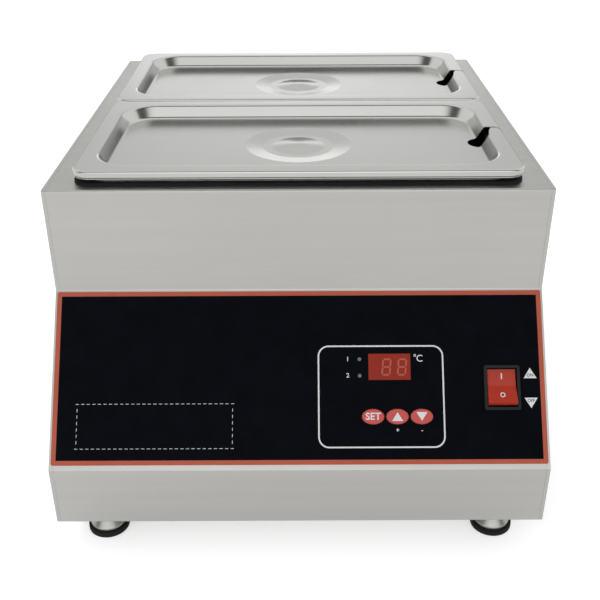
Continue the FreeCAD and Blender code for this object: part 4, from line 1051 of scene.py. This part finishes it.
@dataclass
class ControlFilm:
    """The prints on the black film: edge line, controller outline, note frame, symbols and digits."""

    plane: PanelPlane
    finishes: Finishes
    film: Span = (359.0, 127.04)
    film_middle: Place = (0.0, 65.12)
    film_corner: float = 1.5
    edge_width: float = 3.4
    controller: Span = (92.3, 74.6)
    controller_middle: Place = (59.75, 79.7)
    controller_corner: float = 8.0
    controller_line: float = 1.1
    note: Span = (113.2, 32.2)
    note_middle: Place = (-105.2, 100.8)
    note_dash: float = 2.3
    note_gap: float = 1.5
    note_line: float = 0.35
    digit_middles: tuple[Place, Place] = ((64.0, 58.4), (75.4, 58.4))
    digit_height: float = 11.4
    digit_width: float = 5.6
    digit_stroke: float = 1.25
    digit_lean: float = 0.09
    degree_middle: Place = (85.0, 49.9)
    degree_radius: float = 0.95
    degree_line: float = 0.45
    letter_middle: Place = (88.4, 52.3)
    letter_size: float = 7.2
    switch_column: float = 169.0
    switch_marks: tuple = (("on", "ON", 63.2, 1), ("off", "OFF", 85.0, -1))
    mark_half: float = 4.8
    mark_height: float = 7.6
    word_drop: float = 1.6
    word_size: float = 3.1
    word_weight: float = 0.04
    legends: tuple = (("raise", "+", (71.3, 104.3)), ("lower", "-", (89.0, 104.3)),
                      ("lamp_1", "1", (35.6, 52.6)), ("lamp_2", "2", (35.6, 64.5)))
    legend_size: float = 4.6
    legend_weight: float = 0.05

    def build(self) -> None:
        """Make the prints."""
        white = self.finishes.white_ink
        edge = band(self.film[0] / 2 * MM, self.film[1] / 2 * MM, self.film_corner * MM,
                    self.edge_width * MM)
        self._lay("film_edge_line", edge, self.finishes.edge_ink, self.film_middle)
        outline = band(self.controller[0] / 2 * MM, self.controller[1] / 2 * MM,
                       self.controller_corner * MM, self.controller_line * MM)
        self._lay("controller_outline", outline, white, self.controller_middle)
        note = dashes(self.note[0] / 2 * MM, self.note[1] / 2 * MM, self.note_dash * MM,
                      self.note_gap * MM, self.note_line * MM)
        self._lay("note_frame", note, white, self.note_middle)
        self._digits()
        self._degrees()
        self._switch_marks()
        self._legends()

    def _on_film(self, middle: Place) -> Matrix:
        """The matrix to a print's middle, with the print one thickness of ink clear of the film."""
        return self.plane.at(middle, 2 * INK)

    def _lay(self, name: str, shape: Shape, ink: bpy.types.Material, middle: Place) -> None:
        """Print a shape about its middle."""
        make_piece(name, *shape, ink, "root", self._on_film(middle), INK)

    def _digits(self) -> None:
        """Two unlit digits in the window."""
        for number, middle in enumerate(self.digit_middles, 1):
            shape = digit(self.digit_height * MM, self.digit_width * MM, self.digit_stroke * MM,
                          self.digit_lean)
            self._lay(f"display_digit_{number}", shape, self.finishes.segment_ink, middle)

    def _degrees(self) -> None:
        """The sign for degrees Celsius beside the window."""
        white = self.finishes.white_ink
        self._lay("degree_ring", ring(self.degree_radius * MM, self.degree_line * MM), white,
                  self.degree_middle)
        lettering("degree_letter", "C", self.letter_size * MM, white, "root",
                  self._on_film(self.letter_middle))

    def _switch_marks(self) -> None:
        """The two triangles beside the switch, with ON and OFF on them, towards their level sides."""
        for name, words, row, way in self.switch_marks:
            middle = (self.switch_column, row)
            shape = triangle(self.mark_half * MM, self.mark_height * MM, way)
            self._lay(f"switch_mark_{name}", shape, self.finishes.white_ink, middle)
            shift = Matrix.Translation((0, -way * self.word_drop * MM, INK))
            on_mark = self._on_film(middle) @ shift
            lettering(f"switch_word_{name}", words, self.word_size * MM, self.finishes.dark_ink, "root",
                      on_mark, self.word_weight * MM)

    def _legends(self) -> None:
        """Plain signs under the buttons and plain numbers beside the lamps."""
        for name, words, middle in self.legends:
            lettering(f"legend_{name}", words, self.legend_size * MM, self.finishes.white_ink, "root",
                      self._on_film(middle), self.legend_weight * MM)


@dataclass
class Keys:
    """The marks on the three oval buttons, each riding on its button."""

    plane: PanelPlane
    finishes: Finishes
    proud: float = 0.9
    row: float = 94.5
    columns: dict[str, float] = field(
        default_factory=lambda: {"button_set": 53.6, "button_up": 71.3, "button_down": 89.0})
    arrow_half: float = 4.0
    arrow_height: float = 6.4
    word_size: float = 7.2
    word_weight: float = 0.14

    def build(self) -> None:
        """Make the marks: a word on the first button, a triangle on the others."""
        white = self.finishes.white_ink
        lettering("key_word_set", "SET", self.word_size * MM, white, "button_set",
                  self._on_key("button_set"), self.word_weight * MM)
        for body, way in (("button_up", 1), ("button_down", -1)):
            shape = triangle(self.arrow_half * MM, self.arrow_height * MM, way)
            make_piece(f"key_arrow_{body}", *shape, white, body, self._on_key(body), INK)

    def _on_key(self, body: str) -> Matrix:
        """The matrix to the middle of a button's face, one thickness of ink clear of it."""
        return self.plane.at((self.columns[body], self.row), self.proud * MM + 2 * INK)


@dataclass
class PowerSwitch:
    """The marks I and O on the rocker's two faces, in the rocker's own tilted axes.

    The rocker turns about a pivot that lies below the film's back. Its two faces are lowest where they
    meet, at the dip's height, and rise to the crest's height at their reach.
    """

    plane: PanelPlane
    finishes: Finishes
    middle: Place = (148.0, 73.8)
    film_thickness: float = 0.4
    pivot: float = 3.0
    dip: float = 1.0
    crest: float = 2.6
    reach: float = 12.6
    tilt: float = 11.0
    bar: Span = (0.9, 4.4)
    bar_along: float = 7.6
    ring_radius: float = 1.9
    ring_line: float = 0.7
    ring_along: float = -6.4

    def face(self, along: float) -> Matrix:
        """The matrix to a point on the rocker's face.

        Args:
            along: Distance from the rocker's middle, up the slope, in millimetres.

        Returns:
            From the mark's own axes to the row frame.
        """
        rise = math.atan2(self.crest - self.dip, self.reach)
        side = math.copysign(1, along)
        height = self.dip + self.pivot + abs(along) * math.tan(rise)
        pivot = self.plane.at(self.middle, -(self.film_thickness + self.pivot) * MM)
        turned = pivot @ Matrix.Rotation(math.radians(-self.tilt), 4, "X")
        on_face = turned @ Matrix.Translation((0, along * MM, height * MM + 2 * INK))
        return on_face @ Matrix.Rotation(side * rise, 4, "X")

    def build(self) -> None:
        """Make the two marks."""
        white = self.finishes.white_ink
        bar = bars(np.zeros((1, 2)), *(np.array([side * MM]) for side in self.bar))
        make_piece("rocker_mark_on", *bar, white, "rocker", self.face(self.bar_along), INK)
        loop = ring(self.ring_radius * MM, self.ring_line * MM)
        make_piece("rocker_mark_off", *loop, white, "rocker", self.face(self.ring_along), INK)


@dataclass
class Feet:
    """The thread that shows between each foot's neck and the base."""

    finishes: Finishes
    core: float = 4.0
    crest: float = 0.35
    pitch: float = 1.25
    turns: float = 2.0
    neck_top: float = 21.4

    def build(self) -> None:
        """Carry a thread round each foot's stud, about the middle of its node's box."""
        for place in ("front_left", "front_right", "rear_left", "rear_right"):
            low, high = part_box(f"foot_{place}")
            middle = (low + high) / 2
            ridge = thread(self.core * MM, self.crest * MM, self.pitch * MM, self.turns)
            start = Vector((middle.x, middle.y, (self.neck_top + self.pitch / 2) * MM))
            piece = make_piece(f"foot_thread_{place}", *ridge, self.finishes.slots["foot_steel"],
                               f"foot_{place}", Matrix.Translation(start), smooth=True)


@dataclass
class Studio:
    """Camera, floor, soft lamps and a pale surround with dark parts for the metal to mirror.

    Metres, degrees and watts. The camera's lens and sensor are in millimetres. A lamp has a name, the
    place where it stands, the place it faces, its two lengths and its power. The surround's levels are
    pairs of a position and the brightness there: overhead from the front, 0, to the rear, 1, and flank
    from straight ahead or behind, 0, to straight beside, 1. A span of heights is where one part gives
    way to another, as the upward part of the direction looked in.
    """

    camera_at: tuple[float, float, float] = (0.001, -0.7242, 0.4849)
    pitch: float = 28.85
    yaw: float = -0.02
    roll: float = -0.25
    lens: float = 52.58
    sensor: float = 36.0
    floor_side: float = 12.0
    floor_grey: float = 0.72
    floor_mirrored: float = 0.285
    floor_seen: float = 0.25
    lamps: tuple = (("key lamp", (-0.9, -1.1, 1.7), (0.0, 0.0, 0.15), (1.3, 1.0), 9.0),
                    ("rear lamp", (-0.6, 1.4, 2.1), (0.0, 0.0, 0.2), (1.6, 0.6), 8.0))
    horizon: float = 0.9
    horizon_to_overhead: Span = (0.1, 0.3)
    overhead: tuple = ((0.0, 1.5), (0.12, 1.4), (0.2, 0.95), (0.25, 0.1), (0.42, 0.1), (0.48, 1.0),
                       (0.8, 1.0), (0.88, 0.84), (0.94, 0.8), (0.972, 0.68), (1.0, 1.3))
    above_to_flank: Span = (0.34, 0.2)
    flank: tuple = ((0.0, 1.5), (0.16, 1.4), (0.33, 0.4), (0.42, 0.4), (0.5, 1.2), (0.7, 1.2),
                    (1.0, 0.95))

    def build(self) -> None:
        """Set up the scene round the melter."""
        bpy.context.scene.view_settings.view_transform = "Standard"
        self._camera()
        self._floor()
        self._surround()
        for lamp in self.lamps:
            self._lamp(*lamp)

    def _camera(self) -> None:
        """The camera: forward from pitch and yaw, right and up turned by the roll."""
        pitch, yaw, roll = (math.radians(turn) for turn in (self.pitch, self.yaw, self.roll))
        level = math.cos(pitch)
        ahead = Vector((math.sin(yaw) * level, math.cos(yaw) * level, -math.sin(pitch)))
        right = Vector((math.cos(yaw), -math.sin(yaw), 0.0))
        up = right.cross(ahead)
        across = right * math.cos(roll) + up * math.sin(roll)
        upward = up * math.cos(roll) - right * math.sin(roll)
        data = bpy.data.cameras.new("camera")
        data.lens = self.lens
        data.sensor_width = self.sensor
        camera = bpy.data.objects.new("camera", data)
        bpy.context.scene.collection.objects.link(camera)
        turned = Matrix((across, upward, -ahead)).transposed().to_4x4()
        camera.matrix_world = Matrix.Translation(self.camera_at) @ turned
        bpy.context.scene.camera = camera

    def _floor(self) -> None:
        """A pale floor that shows white to the camera and in reflections, and keeps the shadow."""
        material = bpy.data.materials.new("pale floor")
        material.use_nodes = True
        material.node_tree.nodes.clear()
        tree = Tree(material.node_tree)
        seen = tree.add("LightPath")
        either = tree.add("Math", {0: seen.outputs["Is Camera Ray"], 1: seen.outputs["Is Glossy Ray"]},
                          operation="MAXIMUM")
        through = tree.add("Math", {0: either.outputs[0], 1: seen.outputs["Is Transmission Ray"]},
                           operation="MAXIMUM")
        glow = tree.add("Math", {0: through.outputs[0], 1: self.floor_mirrored}, operation="MULTIPLY")
        shown = tree.add("Math", {0: seen.outputs["Is Camera Ray"], 1: self.floor_seen,
                                  2: glow.outputs[0]}, operation="MULTIPLY_ADD")
        grey = self.floor_grey
        shader = tree.add("BsdfPrincipled", {"Base Color": (grey, grey, grey, 1.0), "Roughness": 0.9,
                                             "Emission Color": (1.0, 1.0, 1.0, 1.0),
                                             "Emission Strength": shown.outputs[0]})
        tree.join(shader.outputs[0], tree.add("OutputMaterial").inputs["Surface"])
        mesh = bpy.data.meshes.new("floor")
        side = np.array([self.floor_side])
        points, faces = bars(np.zeros((1, 2)), side, side)
        mesh.from_pydata(np.column_stack([points, np.zeros(len(points))]), [], faces)
        mesh.materials.append(material)
        floor = bpy.data.objects.new("floor", mesh)
        bpy.context.scene.collection.objects.link(floor)

    def _surround(self) -> None:
        """A white studio with a dark strip high up towards the front and darker patches low at the sides.

        The lengthways and upward parts of the direction looked in pick the level, and the sideways part
        takes it down near the horizon. The camera itself sees white or brighter.
        """
        world = bpy.data.worlds.new("studio")
        world.use_nodes = True
        world.node_tree.nodes.clear()
        tree = Tree(world.node_tree)
        way = tree.add("SeparateXYZ", {0: tree.add("TexCoord").outputs["Generated"]})
        lengthways = tree.add("Math", {0: way.outputs["Y"], 1: 0.5, 2: 0.5}, operation="MULTIPLY_ADD")
        sideways = tree.add("Math", {0: way.outputs["X"]}, operation="ABSOLUTE")
        upper = self._blend(tree, way.outputs["Z"], self.horizon_to_overhead, self.horizon,
                            self._levels(tree, lengthways.outputs[0], self.overhead))
        beside = self._blend(tree, way.outputs["Z"], self.above_to_flank, 1.0,
                             self._levels(tree, sideways.outputs[0], self.flank))
        level = tree.add("Math", {0: upper, 1: beside}, operation="MULTIPLY")
        seen = tree.add("LightPath")
        shown = tree.add("Math", {0: level.outputs[0], 1: seen.outputs["Is Camera Ray"]},
                         operation="MAXIMUM")
        background = tree.add("Background", {"Color": shown.outputs[0], "Strength": 1.0})
        tree.join(background.outputs[0], tree.add("OutputWorld").inputs["Surface"])
        bpy.context.scene.world = world

    @staticmethod
    def _blend(tree: Tree, along: bpy.types.NodeSocket, span: Span, start: float,
               end: bpy.types.NodeSocket) -> bpy.types.NodeSocket:
        """Go over from one level to another across a span.

        Args:
            tree: The world's tree.
            along: The value that the span lies on.
            span: Where the change starts and where it is complete.
            start: The level before the span.
            end: The level past it.

        Returns:
            The level.
        """
        share = tree.add("MapRange", {"Value": along, "From Min": span[0], "From Max": span[1]})
        mixed = tree.add("Mix", {"Factor": share.outputs[0], FLOAT_A: start, FLOAT_B: end},
                         data_type="FLOAT")
        return mixed.outputs[0]

    @staticmethod
    def _levels(tree: Tree, along: bpy.types.NodeSocket, stops: tuple) -> bpy.types.NodeSocket:
        """A grey level that changes along a value.

        Args:
            tree: The world's tree.
            along: The value.
            stops: Pairs of a position on it and the level there.

        Returns:
            The level.
        """
        ramp = tree.add("ValToRGB", {0: along})
        elements = ramp.color_ramp.elements
        for element, (position, level) in zip(elements, (stops[0], stops[-1])):
            element.position, element.color = position, (level, level, level, 1.0)
        for position, level in stops[1:-1]:
            elements.new(position).color = (level, level, level, 1.0)
        return ramp.outputs[0]

    def _lamp(self, name: str, at: tuple, aim: tuple, size: tuple[float, float], power: float) -> None:
        """Add one soft lamp, which lights the melter and isn't mirrored in it.

        Args:
            name: Its name.
            at: Where it stands.
            aim: The point that it faces.
            size: Its two lengths.
            power: Its power in watts.
        """
        data = bpy.data.lights.new(name, "AREA")
        data.shape = "RECTANGLE"
        data.size, data.size_y = size
        data.energy = power
        lamp = bpy.data.objects.new(name, data)
        bpy.context.scene.collection.objects.link(lamp)
        lamp.visible_glossy = False
        lamp.location = at
        lamp.rotation_euler = (Vector(aim) - Vector(at)).to_track_quat("-Z", "Y").to_euler()


def main() -> None:
    """Build the studio, the finishes and the pieces in order."""
    logging.basicConfig(level=logging.INFO, format="%(message)s")
    Studio().build()
    finishes = Finishes(Effects())
    finishes.dress_nodes()
    PressedSheets(finishes).build()
    plane = PanelPlane()
    ControlFilm(plane, finishes).build()
    Keys(plane, finishes).build()
    PowerSwitch(plane, finishes).build()
    Feet(finishes).build()


if __name__ == "__main__":
    main()
